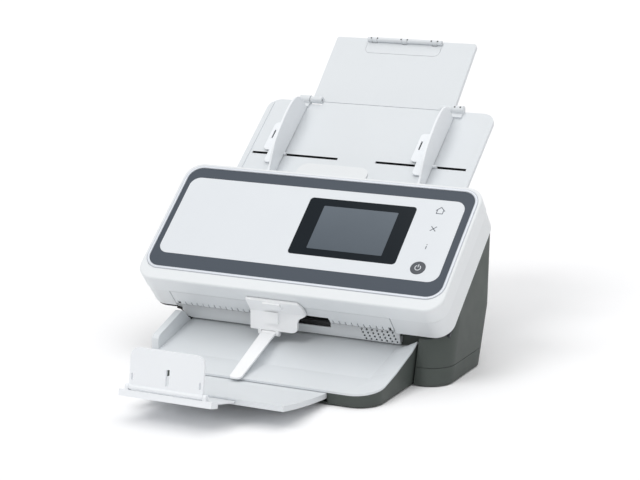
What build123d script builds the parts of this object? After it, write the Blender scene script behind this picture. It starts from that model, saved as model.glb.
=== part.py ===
from build123d import *
import math
import os

# A sheet-fed desktop document scanner, in millimetres, +Z up, facing -Y.
# The pieces are laid out with Y = 0 under the front edge of the panel's dark border
# and Z = 0 on the table. Each is moved by CENTRE_Y when it is written, so that the
# origin of the finished part is on the table, under the middle of its box.
CENTRE_Y = -46.15

# The sloping face. Its own frame has u to the right, v up the slope and n outwards.
FACE_TILT = 39.87
FACE_HEIGHT = 82.0
PATH_X = -10.7

# Opening cover: an upper and a lower moulding that meet at a seam
SLAB_HALF = 151.0
SLAB_FRONT = -15.0
SLAB_TOP = 123.0
SLAB_CORNER = 17.0
UPPER_DEPTH = 17.4
SLAB_DEPTH = 41.0
SEAM = 0.9
LOWER_INSET = 0.6
GASKET_INSET = 1.2
WALL = 2.5
CREASE = 2.0
NOTCH_LEFT = -121.0
NOTCH_RIGHT = 100.0
NOTCH_BACK = 6.0

# Panel, border and bead on the face
INLAY_DEPTH = 1.6
BORDER_HALF = 145.0
BORDER_LENGTH = 116.94
BORDER_CORNER = 13.0
BEAD_WIDTH = 3.2
BEAD_PROUD = 0.9
PANEL_LEFT = -140.0
PANEL_RIGHT = 138.3
PANEL_LOW = 15.4
PANEL_HIGH = 105.5
PANEL_CORNER = 10.0
INLAY_GAP = 0.12

# Display and power button
GLASS_LEFT = -11.15
GLASS_LOW = 29.85
GLASS_WIDTH = 105.24
GLASS_HEIGHT = 64.96
GLASS_DEPTH = 4.0
GLASS_CORNER = 3.5
SCREEN_LEFT = 5.14
SCREEN_LOW = 37.58
SCREEN_WIDTH = 73.5
SCREEN_HEIGHT = 49.0
BUTTON_U = 116.4
BUTTON_V = 29.2
BUTTON_RADIUS = 6.8
BUTTON_FLANGE = 8.4
BUTTON_DEPTH = 4.3
BUTTON_TRAVEL = 0.8
BUTTON_GAP = 0.25

# Cover hinge
PIVOT_V = -10.5
PIVOT_N = -7.0
PIN_RADIUS = 1.5
PIN_GAP = 0.05
EYE_RADIUS = 3.0
EYE_GAP = 0.35
EAR_RADIUS = 3.4
EAR_THICK = 3.0
BRACKET_WIDTH = 7.0
BRACKET_LEG = 4.0
BRACKET_LEG_V = -1.0
BRACKET_X = (-105.0, 84.0)

# Fixed exit lip with its comb, in front of the cover's notch
LIP_TOP = -18.6
LIP_FOOT = -32.5
LIP_THICK = 2.4
LIP_GAP = 0.8
LIP_BACK = 4.0
COMB_PITCH = 6.0
COMB_TOOTH = 5.1
COMB_LENGTH = 5.0
WINDOW_LEFT = -40.0
WINDOW_RIGHT = 37.0
WINDOW_TOP = -30.0

# Deck under the paper
DECK_N = -45.5
DECK_THICK = 2.5
DECK_FRONT = -6.5
DECK_END = 112.0
DECK_GAP = 0.3

# Rollers. Lower ones turn in the deck, upper ones in the cover.
TYRE_PROUD = 2.0
NIP_GAP = 0.3
EXIT_V = 17.0
EXIT_RADIUS = 8.0
DRIVE_V = 69.0
DRIVE_RADIUS = 9.0
FEED_V = 92.0
FEED_RADIUS = 12.0
IDLER_RADIUS = 6.5
SEPARATOR_RADIUS = 9.5
SHAFT_RADIUS = 3.0
BUSH_RADIUS = 5.0
BUSH_WIDTH = 4.0
TYRE_WIDTH = 18.0
FEED_TYRE_WIDTH = 22.0
TYRE_OFFSETS = (-75.0, -25.0, 25.0, 75.0)
FEED_OFFSETS = (-16.0, 16.0)
PULLEY_INSET = 4.5
PULLEY_WIDTH = 5.0
BELT_WIDTH = 4.0
BELT_THICK = 1.2
BELT_GAP = 0.15
BELT_COVER = 0.8
FIT_GAP = 0.02
EAR_PLATE = 3.0
EAR_LEFT = -119.0
EAR_HALF = 8.0

# Motor and electronics
MOTOR_V = 45.0
MOTOR_N = -86.0
MOTOR_SIZE = 35.0
MOTOR_LENGTH = 38.0
MOTOR_STEP = 6.5
MOTOR_BOSS = 1.5
MOTOR_BOSS_RADIUS = 11.0
MOTOR_PULLEY = 4.0
MOTOR_SHAFT = 2.5
BOARD_LENGTH = 150.0
BOARD_WIDTH = 46.0
BOARD_THICK = 1.6
BOARD_Z = 14.0
BOARD_X = -110.0
BOARD_Y = 36.0

# Scan bars
BAR_V = 38.0
BAR_WIDTH = 18.0
BAR_DEPTH = 14.0
BAR_LEFT = -121.0
BAR_RIGHT = 99.0
BAR_GLASS = 1.5
GLASS_MARGIN = 1.5

# Base: a dark pan and shell
BASE_HALF = 149.0
BASE_WALL = 2.5
BASE_BOTTOM = 1.0
BASE_SEAM_Z = 15.7
BASE_SEAM_GAP = 0.4
BASE_TOP_N = -43.0
BASE_FRONT_RADIUS = 22.0
BASE_REAR_RADIUS = 18.0
BASE_FRONT_Y = 5.0
BASE_FRONT_TOP = (15.8, 39.2)
BASE_REAR_TOP = (120.8, 126.9)
BASE_REAR_UPPER = (125.0, 121.5)
BASE_REAR_MIDDLE = (121.0, 52.0)
BASE_REAR_Y = 101.5
RECESS_HALF = 121.0
RECESS_Y = 28.5
DECK_HALF = BASE_HALF - BASE_WALL - DECK_GAP
PULLEY_X = DECK_HALF - 8.2
EAR_RIGHT = PULLEY_X - 12.0
MOTOR_X = PULLEY_X - MOTOR_STEP

# The base's left front corner is cut away under the cover and the deck
CUT_NEAR = (-RECESS_HALF, 27.0)
CUT_FAR = (-BASE_HALF, 80.0)

# Sockets in a pocket of the rear wall
POCKET_X = (-112.0, -18.0)
POCKET_Z = (20.0, 48.0)
POCKET_Y = 106.0
INLET_X = -32.0
USB_X = -62.0
NETWORK_X = -92.0
SOCKET_Z = 34.0
INLET_RADIUS = 5.5
INLET_BORE = 3.3
INLET_PIN = 1.0
SOCKET_DEPTH = 15.0
USB_SIZE = (12.0, 11.0)
USB_CAVITY = (8.6, 7.8)
NETWORK_SIZE = (16.5, 14.0)
NETWORK_CAVITY = (11.9, 8.4)

# Feet and screws
FOOT_RADIUS = 6.0
FOOT_HEIGHT = 2.2
SIDE_FOOT_X = BASE_HALF - 24.0
FOOT_PLACES = ((-116.0, 50.0), (SIDE_FOOT_X, 60.0), (-100.0, 90.0), (100.0, 90.0), (-90.0, -48.0), (102.0, -58.0))
SCREW_RADIUS = 3.0
SIDE_SCREW_X = BASE_HALF - 15.0
SCREW_PLACES = ((-SIDE_SCREW_X + 6.0, 78.0), (SIDE_SCREW_X, 40.0), (-47.0, 92.0), (47.0, 92.0))

# Exit cover under the paper exit, with the sound holes
EXIT_LEFT = -119.5
EXIT_RIGHT = 100.0
EXIT_THICK = 2.2
EXIT_FOOT = (24.8, 29.4)
GRILLE_X = 63.3
GRILLE_Z = 41.5
GRILLE_PITCH = 5.0
GRILLE_ROW = 2.9
GRILLE_SHIFT = 1.3
GRILLE_RADIUS = 1.0
GRILLE_COLUMNS = 7
GRILLE_ROWS = 4
EXIT_NOTCH = 4.0
EXIT_SLANT = ((-122.5, 37.6), (-118.9, 35.4), (-116.6, 32.9), (-114.4, 29.8), (-112.1, 27.6))

# Output tray: white dish on a dark plinth
TRAY_HALF = 119.5
TRAY_FRONT = -77.0
TRAY_CORNER = 22.0
TRAY_FLOOR = 1.8
CORNER_SIDE_Y = -34.0
CORNER_FRONT_X = -88.0
WALL_INNER = -112.7
SHOULDER_X = 97.0
TRAY_REAR = 28.2
DISH_REAR_Z = 27.4
DISH_BEND = (-33.0, 13.2)
DISH_FRONT_Z = 12.2
DISH_GAP = 0.05
PLINTH_WALL = 2.5
PLINTH_FLOOR = 1.2

# Extender of the output tray: it slides on a curved track
TRACK_RADIUS = 650.0
TRACK_LOW_Y = -27.0
TRACK_Z = 8.0
EXTENDER_LEFT = -64.0
EXTENDER_RIGHT = 76.8
EXTENDER_THICK = 4.6
EXTENDER_SKIN = 1.3
EXTENDER_INNER_Y = -50.0
EXTENDER_FRONT_Y = -155.6
EXTENDER_TRAVEL = 60.0
TONGUE_LEFT = -54.0
TONGUE_RIGHT = 33.0
TONGUE_INNER_Y = -112.0
TIP_HALF = 43.0
TIP_Y = -182.0
TIP_FRONT_Y = -193.0
TIP_DROP = 1.6
TIP_THICK = 5.4
TIP_TRAVEL = 16.0
SLIDE_GAP = 0.3
RAIL_UNDER = 8.0
RAIL_BESIDE = 2.5
RAIL_TOP = 8.0
STOP_HALF = 34.3
STOP_HEIGHT = 33.0
STOP_THICK = 2.4
STOP_CORNER = 8.0
STOP_LEAN = 8.6
STOP_AXIS_Y = -190.8
STOP_BARREL = 2.2
STOP_SLOTS = (-31.5, 1.2, 31.5)

# Stacking bracket and arm in front of the paper exit
CLIP_GAP = 0.5
CLIP_THICK = 2.8
CLIP_TOP_N = -10.0
CLIP_Y = 2.2
CLIP_LEFT = -37.5
CLIP_RIGHT = 17.5
CLIP_FOOT_Z = 33.5
ARM_PIVOT_Y = 3.5
ARM_PIVOT_Z = 30.8
ARM_BARREL = 2.3
ARM_STUB = 1.2
ARM_LEFT = -26.0
ARM_WIDTH = 14.0
ARM_TIP_Y = -84.0
ARM_TIP_Z = 13.6
ARM_SHIFT = 13.5
ARM_TIP_WIDTH = 11.0
ARM_NECK = 5.0
ARM_THICK = 1.6

# Input tray: its own frame has s up its slope and h above its surface
TRAY_TILT = 38.1
TRAY_Y = 168.5
TRAY_Z = 162.0
INPUT_HALF = 120.3
INPUT_LOW = -67.6
INPUT_HIGH = 71.5
INPUT_THICK = 3.0
INPUT_CORNER = 13.0
RIM_WIDTH = 5.2
RIM_HEIGHT = 0.7
SLOT_S = -1.0
SLOT_WIDTH = 2.8
SLOT_INNER = 20.0
SLOT_OUTER = 112.5
BOX_DEPTH = 13.0
BOX_LOW = -20.0
BOX_HIGH = 18.0
BOX_SKIN = 1.5
RIB_DEPTH = 5.0
LUG_X = 66.0
LUG_Y = 117.6
LUG_THICK = 3.2
LUG_LOW = 103.0
LUG_TOP = 120.5

# Side guides with their racks and pinion
GUIDE_HALF = 77.3
FIN_THICK = 2.0
FIN_LOW = -48.0
FIN_HIGH = 61.0
FIN_PEAK = 28.0
FOOT_GAP = 1.0
FOOT_THICK = 1.4
FOOT_WIDTH = 22.0
STEM_LENGTH = 8.0
STEM_GAP = 0.25
RACK_TOP = -3.4
RACK_THICK = 3.4
RACK_BODY = 4.0
RACK_REACH = 40.0
MODULE = 1.0
PINION_TEETH = 16
TOOTH_ROOT = 1.5
TOOTH_TIP = 0.65
TOOTH_HEIGHT = 0.85
TOOTH_DEPTH = 1.25
PINION_BORE = 2.5
GUIDE_OUT = 28.0
GUIDE_IN = 50.0

# Folding extension of the input tray and its flip-up tab
EXT_TILT = 44.8
EXT_S = 71.8
EXT_H = 2.0
EXT_HALF = 75.5
EXT_LENGTH = 82.6
EXT_TOP = -2.3
EXT_THICK = 4.2
LUG_RADIUS = 3.4
LUG_WIDTH = 12.0
BOSS_RADIUS = 4.2
BOSS_WIDTH = 11.0
BOSS_GAP = 0.5
TAB_HALF = 40.0
TAB_LOW = 64.6
TAB_AXIS = 80.0
TAB_AXIS_H = -0.3
TAB_BARREL = 2.3
TAB_THICK = 2.2
TAB_GAP = 0.3
TAB_PIN = 0.9
TAB_EARS = (-32.5, 0.0, 32.5)
TAB_EAR_WIDTH = 5.0

# Paper hood at the cover's top edge
HOOD_HALF = 36.0
HOOD_REACH = 24.0
HOOD_THICK = 2.4
HOOD_N = -11.5
HOOD_DROP = 4.0

# Cover release slider in the cover's left side
RELEASE_V = 68.0
RELEASE_N = -29.5
RELEASE_LENGTH = 22.0
RELEASE_HEIGHT = 9.0
RELEASE_TRAVEL = 6.0
RELEASE_GAP = 0.4

SIN_FACE = math.sin(math.radians(FACE_TILT))
COS_FACE = math.cos(math.radians(FACE_TILT))
SIN_TRAY = math.sin(math.radians(TRAY_TILT))
COS_TRAY = math.cos(math.radians(TRAY_TILT))
FACE = Plane(origin=(0, 0, FACE_HEIGHT), x_dir=(1, 0, 0), z_dir=(0, -SIN_FACE, COS_FACE)).location
TRAY = Plane(origin=(0, TRAY_Y, TRAY_Z), x_dir=(1, 0, 0), z_dir=(0, -SIN_TRAY, COS_TRAY)).location
HINGE_Y = TRAY_Y + COS_TRAY * EXT_S - SIN_TRAY * EXT_H
HINGE_Z = TRAY_Z + SIN_TRAY * EXT_S + COS_TRAY * EXT_H
SIN_EXT = math.sin(math.radians(EXT_TILT))
COS_EXT = math.cos(math.radians(EXT_TILT))
EXT = Plane(origin=(0, HINGE_Y, HINGE_Z), x_dir=(1, 0, 0), z_dir=(0, -SIN_EXT, COS_EXT)).location
TRACK_TOP_Z = TRACK_Z + TRACK_RADIUS
ABOVE = 60.0


# Places in one frame that other pieces or joints need in another
def face_point(v, n):
    return (COS_FACE * v - SIN_FACE * n, FACE_HEIGHT + SIN_FACE * v + COS_FACE * n)


def track_point(y, drop=0.0):
    angle = math.asin((TRACK_LOW_Y - y) / TRACK_RADIUS)
    radius = TRACK_RADIUS + drop
    return (TRACK_LOW_Y - radius * math.sin(angle), TRACK_TOP_Z - radius * math.cos(angle))


# Solids that are used many times
def block(x0, x1, y0, y1, z0, z1):
    corner = (Align.MIN, Align.MIN, Align.MIN)
    return Pos(x0, y0, z0) * Box(x1 - x0, y1 - y0, z1 - z0, align=corner)


def plate(x0, x1, y0, y1, z0, z1, radius):
    outline = Pos((x0 + x1) / 2, (y0 + y1) / 2, z0) * RectangleRounded(x1 - x0, y1 - y0, radius)
    return extrude(outline, z1 - z0)


def rod(radius, x0, x1, y, z):
    bar = Cylinder(radius, x1 - x0, align=(Align.CENTER, Align.CENTER, Align.MIN))
    return Location((x0, y, z), (0, 90, 0)) * bar


def upright(radius, x, y, z0, z1):
    bar = Cylinder(radius, z1 - z0, align=(Align.CENTER, Align.CENTER, Align.MIN))
    return Pos(x, y, z0) * bar


def prism(points, x0, x1):
    outline = make_face(Polyline(*points, close=True))
    return extrude(Plane.YZ.offset(x0) * outline, x1 - x0)


def ring(outer, inner):
    return outer - inner


def joined(solids):
    total = solids[0]
    for solid in solids[1:]:
        total = total + solid
    return total


def round_edges(solid, edges, radius):
    return fillet(edges, radius) if len(edges) else solid


# Face outlines
def slab(n0, n1, inset, front_inset):
    half = SLAB_HALF - inset
    return plate(-half, half, SLAB_FRONT + front_inset, SLAB_TOP - inset, n0, n1, SLAB_CORNER - inset)


def border_outline(n0, n1, grow):
    half = BORDER_HALF + grow
    return plate(-half, half, -grow, BORDER_LENGTH + grow, n0, n1, BORDER_CORNER + grow)


def panel_outline(n0, n1, grow):
    x0, x1 = PANEL_LEFT - grow, PANEL_RIGHT + grow
    return plate(x0, x1, PANEL_LOW - grow, PANEL_HIGH + grow, n0, n1, PANEL_CORNER + grow)


def glass_outline(n0, n1, grow):
    x0, x1 = GLASS_LEFT - grow, GLASS_LEFT + GLASS_WIDTH + grow
    return plate(x0, x1, GLASS_LOW - grow, GLASS_LOW + GLASS_HEIGHT + grow, n0, n1, GLASS_CORNER)


def screen_outline(n0, n1, grow):
    x0, x1 = SCREEN_LEFT - grow, SCREEN_LEFT + SCREEN_WIDTH + grow
    return plate(x0, x1, SCREEN_LOW - grow, SCREEN_LOW + SCREEN_HEIGHT + grow, n0, n1, 1.0)


# Cover
def cover_frame():
    outer = slab(-UPPER_DEPTH, 0, 0, 0)
    top_edges = outer.faces().sort_by(Axis.Z)[-1].edges()
    outer = fillet(top_edges, CREASE)
    shell = outer - slab(-UPPER_DEPTH - 1, -WALL, WALL, WALL)
    shell -= border_outline(-INLAY_DEPTH, 1, BEAD_WIDTH)
    shell -= glass_outline(-WALL - 1, 0, -2.0)
    shell -= upright(BUTTON_RADIUS + BUTTON_GAP, BUTTON_U, BUTTON_V, -WALL - 1, 0)
    for x, y in cover_posts():
        shell += upright(4.0, x, y, -UPPER_DEPTH, -WALL)
    for x in BRACKET_X:
        for x0 in ear_starts(x):
            ear = block(x0, x0 + EAR_THICK, PIVOT_V - EAR_RADIUS, PIVOT_V + EAR_RADIUS, PIVOT_N, -WALL)
            shell += ear + rod(EAR_RADIUS, x0, x0 + EAR_THICK, PIVOT_V, PIVOT_N)
        reach = BRACKET_WIDTH / 2 + EYE_GAP
        shell -= rod(EYE_RADIUS + EYE_GAP, x - reach, x + reach, PIVOT_V, PIVOT_N)
        far = reach + EAR_THICK
        shell -= rod(PIN_RADIUS + PIN_GAP, x - far, x + far, PIVOT_V, PIVOT_N)
    return shell


def cover_posts():
    half = SLAB_HALF - 14
    return ((-half, 30.0), (half, 30.0), (-half, 106.0), (half, 106.0), (0.0, 110.0), (0.0, 27.0))


def ear_starts(x):
    reach = BRACKET_WIDTH / 2 + EYE_GAP
    return (x - reach - EAR_THICK, x + reach)


def cover_back():
    top = -UPPER_DEPTH - SEAM
    outer = slab(-SLAB_DEPTH, top, LOWER_INSET, LOWER_INSET)
    low_edges = outer.faces().sort_by(Axis.Z)[0].edges()
    outer = fillet(low_edges, 1.5)
    inset = LOWER_INSET + WALL
    cavity = slab(-SLAB_DEPTH + WALL, top + 1, inset, inset)
    notch_walls = block(NOTCH_LEFT - WALL, NOTCH_RIGHT + WALL, -ABOVE, NOTCH_BACK + WALL, -ABOVE, ABOVE)
    shell = outer - (cavity - notch_walls)
    shell -= block(NOTCH_LEFT, NOTCH_RIGHT, -ABOVE, NOTCH_BACK, -ABOVE, ABOVE)
    shell -= block(BAR_LEFT, BAR_RIGHT, BAR_V, BAR_V + BAR_WIDTH, -SLAB_DEPTH - 1, -SLAB_DEPTH + WALL + 1)
    for x, y in cover_posts():
        shell += upright(4.0, x, y, -SLAB_DEPTH + WALL, -UPPER_DEPTH)
    for name, v, radius, width, offsets in idler_table():
        n = idler_height(radius)
        for side in (EAR_LEFT, EAR_RIGHT):
            arm = block(side, side + EAR_PLATE, v - BUSH_RADIUS, v + BUSH_RADIUS, -SLAB_DEPTH + 1, n)
            shell += arm + rod(BUSH_RADIUS, side, side + EAR_PLATE, v, n)
        shell -= rod(SHAFT_RADIUS + PIN_GAP, EAR_LEFT - 1, EAR_RIGHT + EAR_PLATE + 1, v, n)
        shell -= rod(SHAFT_RADIUS + 1.6, EAR_LEFT + EAR_PLATE, EAR_RIGHT, v, n)
        for offset in offsets:
            reach = width / 2 + 1.5
            x = PATH_X + offset
            cut = block(x - reach, x + reach, v - radius - 1, v + radius + 1, -SLAB_DEPTH - 1, -SLAB_DEPTH + WALL + 1)
            shell -= cut
    shell -= release_pocket()
    return shell


def cover_gasket():
    band = slab(-UPPER_DEPTH - SEAM, -UPPER_DEPTH, GASKET_INSET, GASKET_INSET)
    band -= slab(-UPPER_DEPTH - SEAM - 1, -UPPER_DEPTH + 1, WALL, WALL)
    return band - block(NOTCH_LEFT - WALL, NOTCH_RIGHT + WALL, -ABOVE, NOTCH_BACK, -ABOVE, ABOVE)


def idler_table():
    return (
        ("exit_idler", EXIT_V, IDLER_RADIUS, TYRE_WIDTH, TYRE_OFFSETS),
        ("drive_idler", DRIVE_V, IDLER_RADIUS, TYRE_WIDTH, TYRE_OFFSETS),
        ("separation_roller", FEED_V, SEPARATOR_RADIUS, FEED_TYRE_WIDTH, FEED_OFFSETS),
    )


def idler_height(radius):
    return DECK_N + TYRE_PROUD + NIP_GAP + radius


def idler(v, radius, width, offsets):
    n = idler_height(radius)
    solid = rod(SHAFT_RADIUS, EAR_LEFT - 1.0, EAR_RIGHT + EAR_PLATE + 1.0, v, n)
    for offset in offsets:
        x = PATH_X + offset
        solid += rod(radius, x - width / 2, x + width / 2, v, n)
    return solid


def release_pocket():
    x0 = -SLAB_HALF - 1
    length = RELEASE_LENGTH + RELEASE_TRAVEL + 2 * RELEASE_GAP
    v0 = RELEASE_V - RELEASE_GAP
    n0 = RELEASE_N - RELEASE_HEIGHT / 2 - RELEASE_GAP
    return block(x0, -SLAB_HALF + WALL + 2, v0, v0 + length, n0, n0 + RELEASE_HEIGHT + 2 * RELEASE_GAP)


def release_slider():
    x0 = -SLAB_HALF + LOWER_INSET + 0.4
    n0 = RELEASE_N - RELEASE_HEIGHT / 2
    v1 = RELEASE_V + RELEASE_LENGTH
    knob = block(x0, x0 + 4.5, RELEASE_V, v1, n0, n0 + RELEASE_HEIGHT)
    back_x = -SLAB_HALF + LOWER_INSET + WALL + RELEASE_GAP
    flange = block(back_x, back_x + 2.0, RELEASE_V - 3, v1 + 3, n0 - 3, n0 + RELEASE_HEIGHT + 3)
    solid = knob + flange
    for step in range(4):
        v = RELEASE_V + 5.0 + 4.0 * step
        solid -= block(x0 - 1, x0 + 0.6, v - 0.8, v + 0.8, n0 + 1.5, n0 + RELEASE_HEIGHT - 1.5)
    return solid


def trim_bead():
    outer = border_outline(-INLAY_DEPTH, BEAD_PROUD, BEAD_WIDTH - INLAY_GAP)
    inner = border_outline(-INLAY_DEPTH - 1, BEAD_PROUD + 1, INLAY_GAP)
    bead = outer - inner
    top_edges = bead.faces().sort_by(Axis.Z)[-1].edges()
    return fillet(top_edges, 1.1)


def ring_bezel():
    return border_outline(-INLAY_DEPTH, 0, 0) - panel_outline(-INLAY_DEPTH - 1, 1, INLAY_GAP)


def control_panel():
    panel = panel_outline(-INLAY_DEPTH, 0, 0) - glass_outline(-INLAY_DEPTH - 1, 1, INLAY_GAP)
    return panel - upright(BUTTON_RADIUS + BUTTON_GAP, BUTTON_U, BUTTON_V, -INLAY_DEPTH - 1, 1)


def display_glass():
    face = glass_outline(-INLAY_DEPTH, 0.1, 0)
    body = glass_outline(-GLASS_DEPTH, -INLAY_DEPTH, -2.0 - INLAY_GAP)
    return face + body - screen_outline(-1.1, 1, 0.08)


def display_screen():
    return screen_outline(-1.1, 0.04, 0)


def power_button():
    cap = upright(BUTTON_RADIUS, BUTTON_U, BUTTON_V, -BUTTON_DEPTH, 0.3)
    cap = fillet(cap.faces().sort_by(Axis.Z)[-1].edges(), 0.4)
    return cap + upright(BUTTON_FLANGE, BUTTON_U, BUTTON_V, -BUTTON_DEPTH, -BUTTON_DEPTH + 1.5)


def paper_hood():
    v0 = SLAB_TOP
    flange = plate(PATH_X - HOOD_HALF, PATH_X + HOOD_HALF, HOOD_N - 5.0, HOOD_N + 5.0, 0, HOOD_THICK, 3.0)
    flange = Location((0, v0 + HOOD_THICK, 0), (90, 0, 0)) * flange
    slope = math.degrees(math.atan2(HOOD_DROP, HOOD_REACH))
    x0, x1 = PATH_X - HOOD_HALF, PATH_X + HOOD_HALF
    leaf = plate(x0, x1, -12.0, HOOD_REACH, -HOOD_THICK, 0, 10.0)
    leaf -= block(x0 - 1, x1 + 1, -13.0, 0.2, -HOOD_THICK - 1, 1)
    leaf = Location((0, v0, HOOD_N), (-slope, 0, 0)) * leaf
    return flange + leaf - block(x0 - 1, x1 + 1, v0 - 20, v0, -60, 40)


def scan_bar(n0, n1):
    return block(BAR_LEFT, BAR_RIGHT, BAR_V + 0.4, BAR_V + BAR_WIDTH - 0.4, n0, n1)


def scan_glass(n0, n1):
    v0, v1 = BAR_V + 0.2, BAR_V + BAR_WIDTH - 0.2
    return block(BAR_LEFT + GLASS_MARGIN, BAR_RIGHT - GLASS_MARGIN, v0, v1, n0, n1)


# Exit lip, hinge brackets and their pins, all fixed to the deck
def exit_lip():
    x0 = NOTCH_LEFT + LIP_GAP
    x1 = NOTCH_RIGHT - LIP_GAP
    v0 = SLAB_FRONT + LOWER_INSET
    solid = block(x0, x1, v0, v0 + LIP_THICK, LIP_FOOT, LIP_TOP)
    solid += block(x0, x1, v0, LIP_BACK, LIP_TOP - 2.0, LIP_TOP)
    for side in (x0, x1 - LIP_THICK):
        solid += block(side, side + LIP_THICK, DECK_FRONT + 0.5, LIP_BACK, DECK_N, LIP_TOP)
        solid += block(side, side + LIP_THICK, v0, DECK_FRONT + 0.5, LIP_FOOT - 4.0, LIP_TOP)
    count = int((x1 - x0 - 8.0) / COMB_PITCH)
    for index in range(count):
        x = x0 + 5.0 + COMB_PITCH * index
        solid += block(x, x + COMB_TOOTH, v0 + 0.4, v0 + LIP_THICK, LIP_FOOT - COMB_LENGTH, LIP_FOOT)
    solid -= block(WINDOW_LEFT, WINDOW_RIGHT, v0 - 1, v0 + LIP_THICK + 1, LIP_FOOT - 5, WINDOW_TOP)
    return solid


def hinge_brackets():
    solids = []
    for x in BRACKET_X:
        x0, x1 = x - BRACKET_WIDTH / 2, x + BRACKET_WIDTH / 2
        leg_end = BRACKET_LEG_V + BRACKET_LEG
        bar = block(x0, x1, PIVOT_V, leg_end, PIVOT_N - 2.8, PIVOT_N + 2.8)
        leg = block(x0, x1, BRACKET_LEG_V, leg_end, LIP_TOP, PIVOT_N + 2.8)
        solid = rod(EYE_RADIUS, x0, x1, PIVOT_V, PIVOT_N) + bar + leg
        solid -= rod(PIN_RADIUS, x0 - 1, x1 + 1, PIVOT_V, PIVOT_N)
        solids.append(solid)
    return solids


def hinge_pins():
    reach = BRACKET_WIDTH / 2 + EYE_GAP + EAR_THICK - 0.2
    return [rod(PIN_RADIUS, x - reach, x + reach, PIVOT_V, PIVOT_N) for x in BRACKET_X]


# Deck, lower rollers, bushes and belt
def roller_table():
    return (
        ("exit", EXIT_V, EXIT_RADIUS, TYRE_WIDTH, TYRE_OFFSETS),
        ("drive", DRIVE_V, DRIVE_RADIUS, TYRE_WIDTH, TYRE_OFFSETS),
        ("feed", FEED_V, FEED_RADIUS, FEED_TYRE_WIDTH, FEED_OFFSETS),
    )


def roller_depth(radius):
    return DECK_N + TYRE_PROUD - radius


def lower_deck():
    x0, x1 = -DECK_HALF, DECK_HALF
    solid = block(x0, x1, DECK_FRONT, DECK_END, DECK_N - DECK_THICK, DECK_N)
    solid -= block(BAR_LEFT, BAR_RIGHT, BAR_V, BAR_V + BAR_WIDTH, DECK_N - DECK_THICK - 1, DECK_N + 1)
    for name, v, radius, width, offsets in roller_table():
        n = roller_depth(radius)
        for side in (EAR_LEFT, EAR_RIGHT):
            solid += block(side, side + EAR_PLATE, v - EAR_HALF, v + EAR_HALF, n - EAR_HALF, DECK_N - 1)
        solid -= rod(BUSH_RADIUS, EAR_LEFT - 1, EAR_LEFT + EAR_PLATE + 1, v, n)
        solid -= rod(BUSH_RADIUS, EAR_RIGHT - 1, EAR_RIGHT + EAR_PLATE + 1, v, n)
        for offset in offsets:
            reach = width / 2 + 1.5
            x = PATH_X + offset
            low, high = DECK_N - DECK_THICK - 1, DECK_N + 1
            solid -= block(x - reach, x + reach, v - radius - 1, v + radius + 1, low, high)
    reach = PULLEY_WIDTH / 2 + 1.0
    low = DECK_N - DECK_THICK
    solid -= block(PULLEY_X - reach, PULLEY_X + reach, EXIT_V - 8, FEED_V + 12, low - 1, DECK_N - BELT_COVER)
    half = MOTOR_SIZE / 2 - 2
    x1 = MOTOR_X + MOTOR_BOSS
    bracket = block(MOTOR_X, x1, MOTOR_V - half, MOTOR_V + half, MOTOR_N - half, low + 0.5)
    return solid + bracket - rod(MOTOR_BOSS_RADIUS + PIN_GAP, MOTOR_X - 1, x1 + 1, MOTOR_V, MOTOR_N)


def roller_bushes():
    solids = []
    for name, v, radius, width, offsets in roller_table():
        n = roller_depth(radius)
        for side in (EAR_LEFT, EAR_RIGHT):
            x0 = side - 0.5
            bush = rod(BUSH_RADIUS, x0, x0 + BUSH_WIDTH, v, n)
            solids.append(bush - rod(SHAFT_RADIUS + PIN_GAP, x0 - 1, x0 + BUSH_WIDTH + 1, v, n))
    return solids


def roller_shaft(v, radius):
    n = roller_depth(radius)
    solid = rod(SHAFT_RADIUS, EAR_LEFT - 2.0, PULLEY_X + PULLEY_WIDTH / 2, v, n)
    solid += rod(radius - PULLEY_INSET, PULLEY_X - PULLEY_WIDTH / 2, PULLEY_X + PULLEY_WIDTH / 2, v, n)
    return solid


def roller_tyres(v, radius, width, offsets):
    n = roller_depth(radius)
    solids = []
    for offset in offsets:
        x = PATH_X + offset
        tyre = rod(radius, x - width / 2, x + width / 2, v, n)
        solids.append(tyre - rod(SHAFT_RADIUS + FIT_GAP, x - width, x + width, v, n))
    return solids


def pulley_circles():
    circles = [(v, roller_depth(radius), radius - PULLEY_INSET) for name, v, radius, w, o in roller_table()]
    return circles[0], circles[-1], (MOTOR_V, MOTOR_N, MOTOR_PULLEY)


def belt_outline(grow):
    circles = pulley_circles()
    discs = [Pos(v, n) * Circle(radius + grow) for v, n, radius in circles]
    hull = make_hull(discs[0].edges() + discs[1].edges() + discs[2].edges())
    return hull


def drive_belt():
    outline = belt_outline(BELT_GAP + BELT_THICK) - belt_outline(BELT_GAP)
    return extrude(Plane.YZ.offset(PULLEY_X - BELT_WIDTH / 2) * outline, BELT_WIDTH)


def drive_motor():
    half = MOTOR_SIZE / 2
    x0, x1 = MOTOR_X - MOTOR_LENGTH, MOTOR_X
    body = block(x0, x1, MOTOR_V - half, MOTOR_V + half, MOTOR_N - half, MOTOR_N + half)
    body = chamfer(body.edges().filter_by(Axis.X), 4.0)
    boss = rod(MOTOR_BOSS_RADIUS, x1, x1 + MOTOR_BOSS, MOTOR_V, MOTOR_N)
    return body + boss - rod(MOTOR_SHAFT + PIN_GAP, x0 + 4, x1 + 2, MOTOR_V, MOTOR_N)


def motor_shaft():
    x1 = PULLEY_X + PULLEY_WIDTH / 2
    solid = rod(MOTOR_SHAFT, MOTOR_X - MOTOR_LENGTH + 6, x1, MOTOR_V, MOTOR_N)
    return solid + rod(MOTOR_PULLEY, x1 - PULLEY_WIDTH, x1, MOTOR_V, MOTOR_N)


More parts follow.
